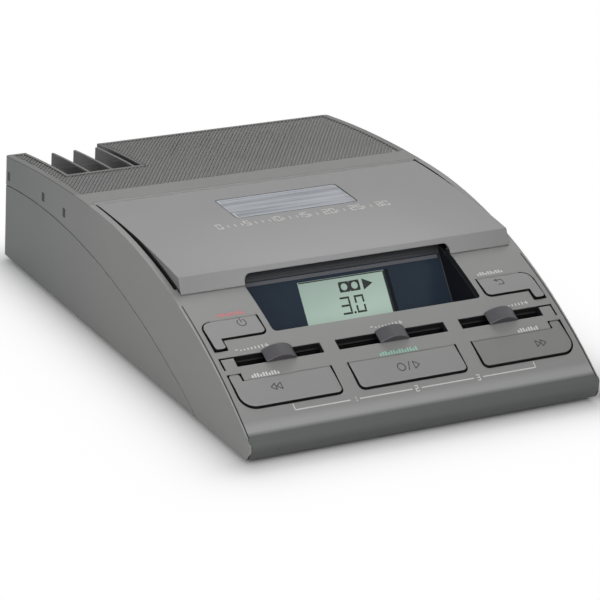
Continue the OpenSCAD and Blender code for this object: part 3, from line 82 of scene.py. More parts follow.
# %% A socket that can be reckoned with
class Wire:
    def __init__(self, tree, socket=None):
        self.tree = tree
        self.socket = socket

    def node(self, kind, settings=None, sockets=None, out=0):
        made = self.tree.nodes.new(kind)
        for name, value in (settings or {}).items():
            if name == "stops":
                ramp = made.color_ramp
                while len(ramp.elements) < len(value):
                    ramp.elements.new(0.5)
                for element, (place, tone) in zip(ramp.elements, value):
                    element.position = place
                    element.color = tone
            else:
                setattr(made, name, value)
        for name, value in (sockets or {}).items():
            self.feed(made.inputs[name], value)
        return Wire(self.tree, made.outputs[out])

    def feed(self, target, value):
        if isinstance(value, Wire):
            self.tree.links.new(value.socket, target)
        else:
            target.default_value = value

    def reckon(self, operation, first, second):
        return self.node("ShaderNodeMath", {"operation": operation}, {0: first, 1: second})

    def __add__(self, other):
        return self.reckon("ADD", self, other)

    def __sub__(self, other):
        return self.reckon("SUBTRACT", self, other)

    def __rsub__(self, other):
        return self.reckon("SUBTRACT", other, self)

    def __mul__(self, other):
        return self.reckon("MULTIPLY", self, other)

    def __pow__(self, other):
        return self.reckon("POWER", self, other)

    def __rpow__(self, other):
        return self.reckon("POWER", other, self)

    def __gt__(self, other):
        return self.reckon("GREATER_THAN", self, other)

    def __lt__(self, other):
        return self.reckon("LESS_THAN", self, other)

    def __abs__(self):
        return self.reckon("ABSOLUTE", self, 0.0)

    __radd__ = __add__
    __rmul__ = __mul__


# %% Starting a finish
def tone(red, green, blue):
    """A colour given as it looks on a screen, 0 to 255, turned into light."""
    shares = [c / 255 for c in (red, green, blue)]
    light = [((s + 0.055) / 1.055) ** 2.4 if s > 0.04 else s / 12.92 for s in shares]
    return (*light, 1.0)


def shifted(colour, by):
    """A screen colour made lighter or darker by so many steps."""
    return tone(*(min(255, max(0, c + by)) for c in colour))


def start(name, **fixed):
    material = bpy.data.materials.new(name)
    material.use_nodes = True
    tree = material.node_tree
    shader = tree.nodes["Principled BSDF"]
    for socket, value in fixed.items():
        shader.inputs[socket.replace("_", " ")].default_value = value
    return material, Wire(tree), shader


def between(wire, first, second, share):
    return wire.node("ShaderNodeMix", {"data_type": "RGBA"}, {0: share, 6: first, 7: second}, 2)


def grains(wire, size, detail=2.0, stretch=None):
    """Noise with grains of about this size in millimetres, the same from every side."""
    place = wire.node("ShaderNodeTexCoord", out="Object")
    if stretch:
        place = wire.node("ShaderNodeMapping", {}, {"Vector": place, "Scale": stretch})
    sockets = {"Vector": place, "Scale": 1.0 / (size * mm), "Detail": detail}
    return wire.node("ShaderNodeTexNoise", {}, sockets)


def paint(wire, skin, colour, rough):
    wire.feed(skin.inputs["Base Color"], colour)
    wire.feed(skin.inputs["Roughness"], rough)


def emboss(wire, skin, height, strength, depth, **normal):
    """Relief of this depth in millimetres, by a Bump node."""
    sockets = {"Strength": strength, "Distance": depth * mm, "Height": height, **normal}
    wire.feed(skin.inputs["Normal"], wire.node("ShaderNodeBump", {}, sockets))


print("tone of mid grey:", [round(c, 3) for c in tone(128, 128, 128)[:3]])

# %% [markdown]
# Some mouldings change shade from place to place. Each change is a mask: a value that is one where the other
# shade lies, and nought elsewhere. It could be painted as a picture, but worked out in millimetres from the
# place of a point it stays sharp at any size. Many of these shades are painted light and shade. On the roof,
# the grille is painted darker than the housing, a painted shade among its ribs, and its grooves are painted
# paler, which softens the real shade in them; the strip behind the lid is painted a shade darker, as painted
# shade; the rim round the grille is darker; painted stripes of groove shade carry the ribs on over the rim of
# the plug bays;
# the walls of the bays are painted dark, as painted shade; and the joint beside them is dark.

# %% Masks on the roof
roof_r, crown_y, crown_z = 655.0, 24.0, 57.0
rib_lean, rib_pitch = math.radians(34.5), 1.53
bay_left, bay_right, bay_edge = -74.8, -35.5, 72.8


def place_of(wire, axis):
    """The place of a point along one axis, in millimetres."""
    place = wire.node("ShaderNodeTexCoord", out="Object")
    return wire.node("ShaderNodeSeparateXYZ", {}, {"Vector": place}, axis) * (1.0 / mm)


def clamped(value):
    return value.node("ShaderNodeClamp", {}, {"Value": value})


def fade(value, origin, length):
    """Grows from nought at the origin to one at this length past it."""
    return clamped((value - origin) * (1.0 / length))


def within(value, low, high):
    return (value > low) * (value < high)


def face_of(wire):
    return wire.node("ShaderNodeNewGeometry", out="True Normal")


def sideways(wire, tilt=0.6):
    """One on faces that look left or right."""
    return abs(wire.node("ShaderNodeSeparateXYZ", {}, {"Vector": face_of(wire)}, "X")) > tilt


def roof_depth(wire):
    """Millimetres below the arc of the rear roof."""
    run = place_of(wire, "Y") - crown_y
    return (roof_r ** 2 - run * run) ** 0.5 + (crown_z - roof_r) - place_of(wire, "Z")


# Painted light: the grooves of the grille are painted paler, which softens the real shade in them.
def in_grooves(wire, origin=0.12, length=0.4):
    return fade(roof_depth(wire), origin, length)


def in_bay_block(wire):
    return within(place_of(wire, "X"), bay_left, bay_right) * (place_of(wire, "Y") > bay_edge)


# Painted shade: darker stripes where the grooves of the ribs would be shaded, on the rim of the bays.
def over_bay_rim(wire, groove_share=0.26, deepest=0.3):
    """One in the grooves that the ribs would leave if they ran on over the rim of the bays."""
    across = place_of(wire, "X") * math.cos(rib_lean) - place_of(wire, "Y") * math.sin(rib_lean)
    groove = wire.reckon("PINGPONG", across, rib_pitch / 2) > rib_pitch * groove_share
    return groove * in_bay_block(wire) * (roof_depth(wire) < deepest)


# Painted shade: the walls between the plug bays are painted dark.
def bay_walls(wire):
    """One on the walls between the plug bays."""
    return sideways(wire) * in_bay_block(wire)


def bay_joint(wire, left=-36.7, right=-35.2, front=73.0, deepest=0.6):
    """One along the joint between the bays and the grille."""
    beside = within(place_of(wire, "X"), left, right) * (place_of(wire, "Y") > front)
    return beside * (roof_depth(wire) < deepest)


# Painted shade: the roof behind the lid is painted a shade darker.
def on_roof(wire, front=32.0, deepest=0.5):
    return (place_of(wire, "Y") > front) * (roof_depth(wire) < deepest)


def round_grille(wire):
    return on_roof(wire, front=46.6)


print("ribs lean by", round(math.degrees(rib_lean), 1), "degrees,", rib_pitch, "mm apart")

# %% [markdown]
# The panel slopes and is slightly arched, so its masks count millimetres up the slope and below the arc. The
# walls of its openings, the skirts of the keys and the walls of the joints beside the lid are painted black, as
# painted shade. The middle of the lid is painted paler, a painted sheen; its front and sides are painted a
# shade darker and its foot black, as painted shade; and the front key at the right is painted darker, as
# painted shade.

# %% Masks on the panel and the lid
slope_a, slope_y, slope_z, panel_r = math.radians(26.809), -86.5, 30.66, 244.99


def along_panel(wire):
    """Millimetres up the panel's slope, and below the arc of its surface."""
    y, z = place_of(wire, "Y") - slope_y, place_of(wire, "Z") - slope_z
    c, s = math.cos(slope_a), math.sin(slope_a)
    along = y * c + z * s
    return along, (panel_r ** 2 - along * along) ** 0.5 - panel_r - (z * c - y * s)


# Painted shade: the walls of the panel's openings are painted black.
def in_openings(wire, half_x=81.0, front=-23.0, rear=45.0, origin=0.12, length=0.125):
    """One on the walls of the openings in the panel, from just below its surface."""
    along, below = along_panel(wire)
    inside = (abs(place_of(wire, "X")) < half_x) * within(along, front, rear)
    return fade(below, origin, length) * inside


def dot(wire, first, second):
    return wire.node("ShaderNodeVectorMath", {"operation": "DOT_PRODUCT"}, {0: first, 1: second}, "Value")


# Used for painted shade on the skirts of the keys and on the front and sides of the lid.
def off_panel(wire, tilt=0.6):
    """One on faces that turn away from the panel's slope, such as the skirts of the keys."""
    out = (0.0, -math.sin(slope_a), math.cos(slope_a))
    return dot(wire, face_of(wire), out) < tilt


# Painted shade: the foot of the lid is painted black.
def lid_foot(wire, origin=-1.5, length=1 / 3, rear=30.0):
    """One round the foot of the lid's sides and front, where they sink into the joint."""
    foot = fade(along_panel(wire)[1], origin, length)
    return foot * off_panel(wire) * (place_of(wire, "Y") < rear)


# Painted shade: the walls of the joints beside the lid are painted black.
def beside_lid(wire, half_x=81.0, front=-54.0, rear=34.6):
    """One on the walls of the narrow joint along both sides of the lid."""
    near = (abs(place_of(wire, "X")) < half_x) * within(place_of(wire, "Y"), front, rear)
    return near * sideways(wire)


# Painted highlight: a paler sheen painted on the middle of the lid.
def lid_middle(wire, origin=8.0, length=-50.0, half_x_squared=5600.0):
    """Grows towards the front of the lid, half way between its sides."""
    x = place_of(wire, "X")
    return fade(place_of(wire, "Y"), origin, length) * clamped(1.0 - x * x * (1.0 / half_x_squared))


# Painted shade: the front key at the right is painted darker.
def wind_place(wire, left=27.0, rear=-84.0):
    """One on the front key at the right."""
    return (place_of(wire, "X") > left) * (place_of(wire, "Y") < rear)


print("panel slopes by", round(math.degrees(slope_a), 1), "degrees")

# %% [markdown]
# Towards its front edge the panel has an even tone, then a pale band, a painted highlight on the rounding of
# the nose, and then a dark rail, painted shade on its front face. Its sides are painted a shade darker towards
# the rear, as painted shade where the light falls off.

# %% Masks at the front and the sides
def on_top(wire, tilt=0.3):
    return wire.node("ShaderNodeSeparateXYZ", {}, {"Vector": face_of(wire)}, "Z") > tilt


def near_front(wire, origin=-103.0, length=-12.5):
    """Grows over the last stretch of the panel in front of the keys."""
    return fade(place_of(wire, "Y"), origin, length) * on_top(wire)


# Painted highlight: a pale band along the rounding of the nose.
def front_band(wire):
    return near_front(wire, origin=-111.6, length=-2.5)


# Painted shade: the front face of the rail is painted dark.
def front_rail(wire, origin=-115.6, length=-5 / 3):
    return fade(place_of(wire, "Y"), origin, length) * (1.0 - sideways(wire))


# Painted shade: the sides darken towards the rear.
def toward_rear(wire, origin=10.0, length=110.0):
    """Grows along the sides towards the rear."""
    return sideways(wire) * fade(place_of(wire, "Y"), origin, length)


print("front masks:", [mask.__name__ for mask in (near_front, front_band, front_rail)])

# %% [markdown]
# The housing is moulded in a spark-eroded tool, so the plastic is matt with a fine even grain. The edges of
# such a moulding are never quite sharp: a Bevel node turns the normal over the last half millimetre, which
# gives each key and the lid the thin lit line that they have in life. The same node, set against the plain
# normal, shows where the edges are, and there the colour is painted lighter by the lift, a painted highlight,
# and the grain is a little smoother by handling.

# %% Moulded plastic
def shaded(wire, ground, shades):
    """The ground colour, with each shade laid over it where its mask is one."""
    for mask, shade in shades:
        ground = between(wire, ground, tone(*shade), mask(wire))
    return ground


def moulded(name, colour, rough=0.5, grain=0.3, edge=0.5, lift=10, shades=()):
    material, wire, skin = start(name, IOR=1.48)
    cloud = grains(wire, 30.0, 3.0)
    spark = grains(wire, 0.55)
    rounded = wire.node("ShaderNodeBevel", {"samples": 6}, {"Radius": edge * mm})
    plain = wire.node("ShaderNodeNewGeometry", out="Normal")
    rim = fade(dot(wire, rounded, plain), 1.0, -0.2)
    body = between(wire, shifted(colour, -3), shifted(colour, 3), cloud * 0.6 + spark * 0.4)
    # Painted highlight: the edges are painted lighter by the lift.
    edge_highlit = between(wire, body, shifted(colour, lift), rim * 0.6)
    paint(wire, skin, shaded(wire, edge_highlit, shades), rough + 0.12 * (cloud - 0.5) - 0.08 * rim)
    emboss(wire, skin, spark, grain, 0.05, Normal=rounded)
    return material


# The lift of each moulding sets its painted highlight on the edges.
mouldings = {
    "housing_grey": dict(
        colour=(149, 149, 148),
        lift=30,
        shades=[
            # painted shade: the sides darker towards the rear
            (toward_rear, (125, 129, 128)),
            # painted shade: the roof strip behind the lid
            (on_roof, (133, 133, 132)),
            (round_grille, (106, 106, 105)),
            # painted shade: stripes of groove shade on the rim of the bays
            (over_bay_rim, (90, 90, 89)),
            # painted shade: the walls of the bays
            (bay_walls, (70, 71, 70)),
            (bay_joint, (24, 24, 25)),
            # painted shade: the walls beside the lid
            (beside_lid, (24, 24, 25)),
            # painted shade: the walls of the panel's openings
            (in_openings, (22, 23, 23)),
            (near_front, (148, 148, 148)),
            # painted highlight on the nose, then painted shade on the rail
            (front_band, (164, 165, 164)),
            (front_rail, (89, 91, 90)),
        ],
    ),
    # Painted shade: the sides of the base darker towards the rear.
    "base_grey": dict(colour=(146, 146, 145), shades=[(toward_rear, (123, 127, 126))]),
    "lid_grey": dict(
        colour=(151, 151, 151),
        # Painted sheen in the middle of the lid; painted shade on its front, sides and foot.
        shades=[(lid_middle, (170, 170, 170)), (off_panel, (136, 136, 136)), (lid_foot, (22, 22, 23))],
    ),
    # Painted shade: the grille is darker than the housing to stand for the shade among its ribs; its grooves
    # are painted paler.
    "grille_grey": dict(colour=(97, 97, 96), rough=0.6, edge=0.15, shades=[(in_grooves, (154, 154, 153))]),
    "key_grey": dict(
        colour=(149, 148, 148),
        edge=0.7,
        lift=50,
        # Painted shade: the front key at the right is darker, and the skirts of the keys are black.
        shades=[(wind_place, (134, 134, 133)), (off_panel, (24, 24, 25))],
    ),
    "knob_dark": dict(colour=(74, 72, 77), rough=0.4, edge=0.7, lift=66),
    "lever_dark": dict(colour=(40, 40, 42)),
    "bezel_grey": dict(colour=(72, 73, 77), rough=0.4, shades=[(sideways, (14, 15, 19))]),
    "deck_black": dict(colour=(38, 38, 40)),
    "cassette_grey": dict(colour=(70, 72, 76), rough=0.4),
    "parts_black": dict(colour=(28, 28, 30), rough=0.45),
    "pulley_nylon": dict(colour=(214, 210, 198), rough=0.4, grain=0.1),
    "wheel_black": dict(colour=(32, 32, 33), rough=0.55),
    # Painted light: a pale strip that brightens the shaded joint behind the lid.
    "joint_light_pale": dict(colour=(194, 194, 193), rough=0.6),
}
finish = {name: moulded(name, **recipe) for name, recipe in mouldings.items()}
print("moulded finishes:", len(finish))

# %% [markdown]
# Rubber is darker and duller than the mouldings, with a coarser bloom on it. The feet, the key mats and the
# drive belt are rubber.

# %% Rubber
def rubber(name, colour):
    material, wire, skin = start(name, IOR=1.5)
    bloom = grains(wire, 4.0, 4.0)
    pores = grains(wire, 0.4)
    paint(wire, skin, between(wire, tone(*colour), shifted(colour, 16), bloom * 0.7), 0.7 + 0.2 * bloom)
    emboss(wire, skin, pores, 0.35, 0.05)
    return material


finish["rubber_black"] = rubber("rubber_black", (30, 30, 31))
print("rubber:", finish["rubber_black"].name)

# %% [markdown]
# The metals differ in how they were worked. Sheet steel and the motor's can keep the drawn lines of rolling, a
# turned pulley has rings, and a head's face is lapped nearly to a mirror. The cans of the slide controls are
# painted dark, as painted shade, so that the slots above them look dark. Noise that is stretched along one axis
# gives the drawn lines.

# %% Metals
def metal(name, colour, rough, stretch, scratch=0.25):
    material, wire, skin = start(name, Metallic=1.0)
    lines = grains(wire, 2.2, 4.0, stretch)
    spots = grains(wire, 9.0, 3.0)
    dark = tone(*(int(c * 0.88) for c in colour))
    uneven = between(wire, dark, tone(*colour), lines * 0.5 + spots * 0.5)
    paint(wire, skin, uneven, rough + 0.16 * (lines - 0.5) + 0.08 * (spots - 0.5))
    emboss(wire, skin, lines, scratch, 0.02)
    return material


metals = {
    "steel": ((186, 187, 190), 0.3, (12.0, 1.0, 1.0)),
    "head_chrome": ((208, 209, 212), 0.14, (1.0, 1.0, 6.0), 0.1),
    "motor_can": ((164, 165, 168), 0.32, (1.0, 1.0, 12.0)),
    # Painted shade: the cans of the slide controls are dark so that the slots above them look dark.
    "pot_steel": ((56, 56, 58), 0.55, (1.0, 10.0, 10.0)),
    "pulley_brass": ((196, 164, 96), 0.26, (1.0, 1.0, 10.0)),
    "speaker_steel": ((120, 121, 122), 0.42, (6.0, 6.0, 1.0)),
    "magnet_iron": ((74, 74, 78), 0.5, (1.0, 1.0, 1.0)),
}
finish.update({name: metal(name, *recipe) for name, recipe in metals.items()})
print("metals:", list(metals))

# %% [markdown]
# The rest are special sheets. The display's front is a smooth dark plastic, the liquid crystal is a satin
# green-grey, the lid's window is clear plastic with a smoky blue tint and a clear coat, circuit boards are
# green lacquer over copper tracks, the tape is brown oxide in close turns and the loudspeaker's cone is felted
# paper.

# %% Display front, liquid crystal and window
def toward_top(wire, foot_z=27.0, rise=0.06, lean=0.012):
    """Grows towards the upper left corner of the display, where its recess throws a shadow."""
    return clamped((place_of(wire, "Z") - foot_z) * rise - place_of(wire, "X") * lean)


def smooth_sheet(name, colour, rough, shine=0.5, glow=0.0, spread=5, shades=()):
    light = dict(Emission_Color=tone(*colour), Emission_Strength=glow)
    material, wire, skin = start(name, IOR=1.5, Specular_IOR_Level=shine, **light)
    haze = grains(wire, 16.0, 3.0)
    dust = grains(wire, 0.7)
    ground = between(wire, shifted(colour, -spread), shifted(colour, spread), haze)
    patches = 0.06 * (haze - 0.5) + 0.05 * (dust > 0.68)
    paint(wire, skin, shaded(wire, ground, shades), rough + patches)
    return material


def streaked_window(name):
    """Clear plastic with long soft pale streaks painted into its colour, a painted reflection of the studio."""
    material, wire, skin = start(name, IOR=1.5, Coat_Weight=0.5, Alpha=0.7)
    streaks = grains(wire, 3.0, 2.0, (0.05, 1.0, 1.0))
    haze = grains(wire, 20.0)
    # Painted reflection: pale streaks laid into the tint.
    tint = between(wire, tone(154, 161, 173), tone(230, 235, 243), fade(streaks, 0.35, 1 / 3))
    paint(wire, skin, tint, 0.1 + 0.1 * haze)
    return material


lcd_shades = [(toward_top, (142, 160, 153))]
finish.update(
    display_navy=smooth_sheet("display_navy", (46, 58, 72), 0.25, shine=0.12),
    # Painted light: the liquid crystal glows faintly, which lightens it.
    lcd_green=smooth_sheet("lcd_green", (178, 200, 187), 0.4, glow=0.26, shades=lcd_shades),
    window_tint=streaked_window("window_tint"),
)
print("sheets:", finish["display_navy"].name, finish["lcd_green"].name, finish["window_tint"].name)


# %% Boards, tape and paper
def circuit_board(name):
    material, wire, skin = start(name, IOR=1.5)
    place = wire.node("ShaderNodeTexCoord", out="Object")
    tracks = wire.node(
        "ShaderNodeTexBrick",
        {"offset": 0.5, "squash": 1.0},
        {
            "Vector": place,
            "Scale": 1.0,
            "Mortar Size": 0.25 * mm,
            "Brick Width": 7.0 * mm,
            "Row Height": 1.7 * mm,
        },
        "Fac",
    )
    weave = grains(wire, 0.6)
    lacquer = between(wire, tone(34, 84, 52), tone(44, 98, 60), weave)
    board = between(wire, lacquer, tone(74, 128, 76), tracks * 0.8)
    paint(wire, skin, board, 0.32 + 0.12 * weave - 0.08 * tracks)
    emboss(wire, skin, tracks, 0.4, 0.05)
    return material


def wound_tape(name):
    material, wire, skin = start(name, IOR=1.5)
    turns = grains(wire, 0.25, 2.0, (1.0, 1.0, 0.05))
    paint(wire, skin, between(wire, tone(52, 34, 26), tone(84, 58, 44), turns), 0.28 + 0.2 * turns)
    emboss(wire, skin, turns, 0.3, 0.03)
    return material


def felted_paper(name, colour):
    material, wire, skin = start(name, IOR=1.4)
    fibres = grains(wire, 1.2, 5.0)
    felt = between(wire, shifted(colour, -10), shifted(colour, 10), fibres)
    paint(wire, skin, felt, 0.8 + 0.15 * fibres)
    emboss(wire, skin, fibres, 0.5, 0.1)
    return material


finish.update(
    board_green=circuit_board("board_green"),
    tape_brown=wound_tape("tape_brown"),
    cone_paper=felted_paper("cone_paper", (46, 45, 44)),
)
print("finishes so far:", len(finish))

# %% [markdown]
# Each solid now takes the finish of its material slot. The slots are named in the model's record, so the list
# below only says which solid belongs to which slot.

# %% Dress the solids
wears = {
    "housing_grey": "top_cover",
    "base_grey": "base_tray",
    "lid_grey": "cassette_lid",
    "grille_grey": "rear_grille",
    "key_grey": "power_key search_key rewind_key play_key wind_key",
    "knob_dark": "speed_knob volume_knob tone_knob",
    "lever_dark": "speed_lever volume_lever tone_lever",
    "window_tint": "lid_window",
    "bezel_grey": "display_bezel",
    "display_navy": "display_glass",
    "lcd_green": "lcd_panel",
    "deck_black": "deck_cover head_carriage idler_arm",
    "steel": "deck_plate deck_screws deck_shafts carriage_pins lid_hinge_pins front_key_rod rear_key_rods "
    "housing_screws control_board_screws main_board_screws speaker_screws",
    "head_chrome": "sound_head erase_head",
    "motor_can": "motor",
    "pot_steel": "slide_pots",
    "pulley_brass": "motor_pulley",
    "pulley_nylon": "drive_pulley left_turntable right_turntable",
    "wheel_black": "idler_wheel",
    "rubber_black": "rubber_feet key_mats drive_belt",
    "cassette_grey": "cassette_shell",
    "tape_brown": "left_tape_reel right_tape_reel",
    "board_green": "control_board main_board lcd_board socket_board",
    "parts_black": "board_parts headphone_socket pedal_socket power_inlet",
    "speaker_steel": "speaker_frame",
    "magnet_iron": "speaker_magnet",
    "cone_paper": "speaker_cone",
}
bare = set(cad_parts)
for slot, names in wears.items():
    for name in names.split():
        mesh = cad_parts[name].data
        mesh.materials.clear()
        mesh.materials.append(finish[slot])
        bare.discard(name)
print("solids without a finish:", sorted(bare))

# %% [markdown]
# Printed marks are thin layers of ink. Each is drawn flat in millimetres, dropped straight onto the solid that
# carries it, and given a few hundredths of a millimetre of thickness along the surface's own normal. That way a
# mark follows the curve of the panel and rides with the key or lid under it.

# %% Ink on a surface
def landing(node, origin=(0, 0, 200), across=(1, 0, 0), along=(0, 1, 0)):
    """Where a point of a flat drawing lands on a solid or a piece, and the normal there."""
    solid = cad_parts.get(node) or bpy.data.objects[node]
    corners = [tuple(v.co) for v in solid.data.vertices]
    faces = [tuple(p.vertices) for p in solid.data.polygons]
    tree = BVHTree.FromPolygons(corners, faces)
    origin, across, along = Vector(origin), Vector(across), Vector(along)
    down = -across.cross(along)

    def place(a, b):
        point, normal, _, _ = tree.ray_cast((origin + across * a + along * b) * mm, down)
        if point is None:
            raise ValueError(f"a mark at {a:.1f}, {b:.1f} misses {node}")
        return point, (normal if normal.dot(down) < 0 else -normal)

    return place


def as_piece(name, mesh, body, slot, material=None):
    """A piece that rides a body, in the finish of its slot unless it has a material of its own."""
    bmesh.ops.recalc_face_normals(mesh, faces=mesh.faces)
    data = bpy.data.meshes.new(name)
    mesh.to_mesh(data)
    mesh.free()
    data.materials.append(material or finish[slot])
    piece = bpy.data.objects.new(name, data)
    bpy.context.scene.collection.objects.link(piece)
    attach(piece, body)
    return piece


def add_wall(mesh, first, second):
    """Faces between two rings that have as many corners."""
    for i in range(len(first)):
        j = (i + 1) % len(first)
        mesh.faces.new((first[i], first[j], second[j], second[i]))


def printed(name, body, slot, ink, shapes, place, rise=0.05, sunk=0.02):
    mesh = bmesh.new()
    for shape in shapes:
        foot, head = [], []
        for a, b in shape:
            point, normal = place(a, b)
            foot.append(mesh.verts.new(point - normal * sunk * mm))
            head.append(mesh.verts.new(point + normal * rise * mm))
        mesh.faces.new(head)
        mesh.faces.new(foot[::-1])
        add_wall(mesh, foot, head)
    return as_piece(name, mesh, body, slot, ink)


# %% Drawing marks
def bar(x0, y0, x1, y1, width):
    run = Vector((x1 - x0, y1 - y0))
    a, b = Vector((-run.y, run.x)).normalized() * width / 2
    return [(x0 - a, y0 - b), (x1 - a, y1 - b), (x1 + a, y1 + b), (x0 + a, y0 + b)]


def path(points, width, closed=False):
    ends = points[1:] + (points[:1] if closed else [])
    return [bar(*p, *q, width) for p, q in zip(points, ends)]


def ring(x, y, radius, width, start_a=0.0, end_a=360.0, steps=28):
    spots = []
    for i in range(steps + 1):
        a = math.radians(start_a + (end_a - start_a) * i / steps)
        spots.append((math.cos(a), math.sin(a)))
    r, s = radius - width / 2, radius + width / 2
    return [
        [(x + r * c, y + r * d), (x + s * c, y + s * d), (x + s * g, y + s * h), (x + r * g, y + r * h)]
        for (c, d), (g, h) in zip(spots, spots[1:])
    ]


def disc(x, y, radius, steps=20):
    turns = [2 * math.pi * i / steps for i in range(steps)]
    return [[(x + radius * math.cos(a), y + radius * math.sin(a)) for a in turns]]


SEGMENTS = {"0": "abcdef", "1": "bc", "2": "abged", "3": "abgcd", "5": "afgcd"}


def digit(number, x, y, w, h, t):
    """One seven-segment figure with its lower left corner at x, y."""
    m, e, g = y + h / 2, t / 2, t * 0.58
    runs = {
        "a": (x - e, y + h, x + w + e, y + h),
        "b": (x + w, m + g, x + w, y + h - g),
        "c": (x + w, y + g, x + w, m - g),
        "d": (x - e, y, x + w + e, y),
        "e": (x, y + g, x, m - g),
        "f": (x, m + g, x, y + h - g),
        "g": (x - e, m, x + w + e, m),
    }
    return [bar(*runs[s], t) for s in SEGMENTS[number]]


print("figures that can be drawn:", sorted(SEGMENTS))

# %% [markdown]
# Ink is a thin film, so it is nearly as matt as the plastic under it, and it is a little uneven where the pad
# that printed it pressed harder.

# %% Inks
def ink(name, colour):
    material, wire, skin = start(name, IOR=1.45)
    press = grains(wire, 1.5, 3.0)
    uneven = between(wire, shifted(colour, -12), shifted(colour, 4), press)
    paint(wire, skin, uneven, 0.45 + 0.15 * press)
    return material


white_ink = ink("white_ink", (226, 226, 224))
red_ink = ink("red_ink", (222, 132, 132))
mint_ink = ink("mint_ink", (166, 214, 196))
dark_ink = ink("dark_ink", (66, 65, 66))
grey_ink = ink("grey_ink", (112, 113, 118))
# Painted highlight: a pale ink for the line along the side edges of the panel.
edge_highlight_ink = ink("edge_highlight_ink", (186, 187, 186))
lcd_ink = ink("lcd_ink", (28, 36, 34))
black_ink = ink("black_ink", (16, 16, 17))
# Painted highlight: a pale ink for the lines along the edges of the window.
highlight_ink = ink("highlight_ink", (206, 213, 222))
print("inks:", white_ink.name, red_ink.name, mint_ink.name, dark_ink.name, lcd_ink.name)

# %% [markdown]
# The liquid crystal shows a small cassette, a running arrow and a counter. The drawing is laid out in the
# panel's own plane, which leans back in its recess. The glass over it has a paler band along its top, and a
# dark strip beside the panel, where the recess throws its shadow.

# %% Liquid crystal figures
lean = math.radians(51.5)
lcd_up = Vector((0, math.cos(lean), math.sin(lean)))
lcd_out = Vector((0, -math.sin(lean), math.cos(lean)))
lcd_w, lcd_h = 42.0, 19.4
lcd_eye = Vector((0, -48, 32.7)) + lcd_out * 5
on_lcd = landing("lcd_panel", lcd_eye, along=lcd_up)
on_glass = landing("display_glass", lcd_eye, along=lcd_up)
film_rise = 0.03


def lcd_at(across, down):
    """Shares of the panel from its upper left corner, as millimetres from its middle."""
    return (across - 0.5) * lcd_w, (0.5 - down) * lcd_h


def pierced_plate(x0, x1, y0, y1, holes, radius, steps=24):
    """A filled rectangle with round holes side by side, as a fan of small pieces round each hole."""
    middle, half = (y0 + y1) / 2, (y1 - y0) / 2
    edges = [x0] + [(a + b) / 2 for a, b in zip(holes, holes[1:])] + [x1]
    shapes = []
    for hole, left, right in zip(holes, edges, edges[1:]):
        spots = []
        for i in range(steps + 1):
            a = 2 * math.pi * (i + 0.001) / steps
            c, s = math.cos(a), math.sin(a)
            reach = min(((right if c > 0 else left) - hole) / c, half / abs(s))
            spots.append(((hole + radius * c, middle + radius * s), (hole + reach * c, middle + reach * s)))
        shapes += [[p, q, r, t] for (p, q), (t, r) in zip(spots, spots[1:])]
    return shapes


def lcd_figures(hub_r=1.55, figure=(3.7, 6.9, 0.85), point_r=0.55):
    x0, y1 = lcd_at(0.45, 0.13)
    x1, y0 = lcd_at(0.69, 0.37)
    quarter = (x1 - x0) / 4
    shapes = pierced_plate(x0, x1, y0, y1, (x0 + quarter, x1 - quarter), hub_r)
    a0, b1 = lcd_at(0.725, 0.12)
    a1, b0 = lcd_at(0.84, 0.38)
    shapes += [[(a0, b0), (a1, (b0 + b1) / 2), (a0, b1)]]
    left, low = lcd_at(0.435, 0.85)
    shapes += digit("3", left, low, *figure)
    shapes += disc(left + 5.3, low, point_r)
    shapes += digit("0", left + 6.8, low, *figure)
    return shapes


def lcd_edges(inset=0.5, right_inset=0.45):
    """Dark lines along the right and upper edges of the panel, a painted shadow where it sits in its recess."""
    x, y, right = lcd_w / 2 - inset, lcd_h / 2 - inset, lcd_w / 2 - right_inset
    return [bar(right, -y, right, y, 0.66), bar(-x, y, x, y, 0.5)]


lcd_shapes = lcd_figures() + lcd_edges()
lcd_marks = printed("lcd_marks", "housing", "lcd_green", lcd_ink, lcd_shapes, on_lcd, film_rise)
band_x, band_y, shadow_x, shadow_y = 48.4, 11.9, 22.15, 9.6
band = [bar(-band_x, band_y, band_x, band_y, 1.6)]
shadow = [bar(shadow_x, -shadow_y, shadow_x, shadow_y, 1.7)]
shade_film = smooth_sheet("shade_film", (17, 22, 27), 0.25, 0.12)
printed("glass_band", "housing", "display_navy", grey_ink, band, on_glass, film_rise)
printed("lcd_shadow", "housing", "display_navy", shade_film, shadow, on_glass, film_rise)
print("lcd marks:", len(lcd_marks.data.polygons), "faces")

# %% [markdown]
# Each key carries a pictogram in thin dark lines. The pictograms are the plain signs that such machines share.
# Behind each key, on the panel, stands a short row of ticks whose colour tells the keys apart.

# %% Key pictograms
def chevrons(x, y, toward, length=2.2, half=1.5, line=0.4):
    shapes = []
    for foot in (x - 1.4 * toward, x + 1.2 * toward):
        shapes += path([(foot, y - half), (foot + length * toward, y), (foot, y + half)], line, True)
    return shapes


def tick_row(x, y, length, height=1.8, pitch=1.3, line=0.85, short=0.65):
    """A plain row of upright ticks, every third one short."""
    count = int(length / pitch)
    shapes = []
    for i in range(count + 1):
        spot, foot = x + (i - count / 2) * pitch, y - height / 2
        shapes.append(bar(spot, foot, spot, foot + height * (1.0 if i % 3 else short), line))
    return shapes


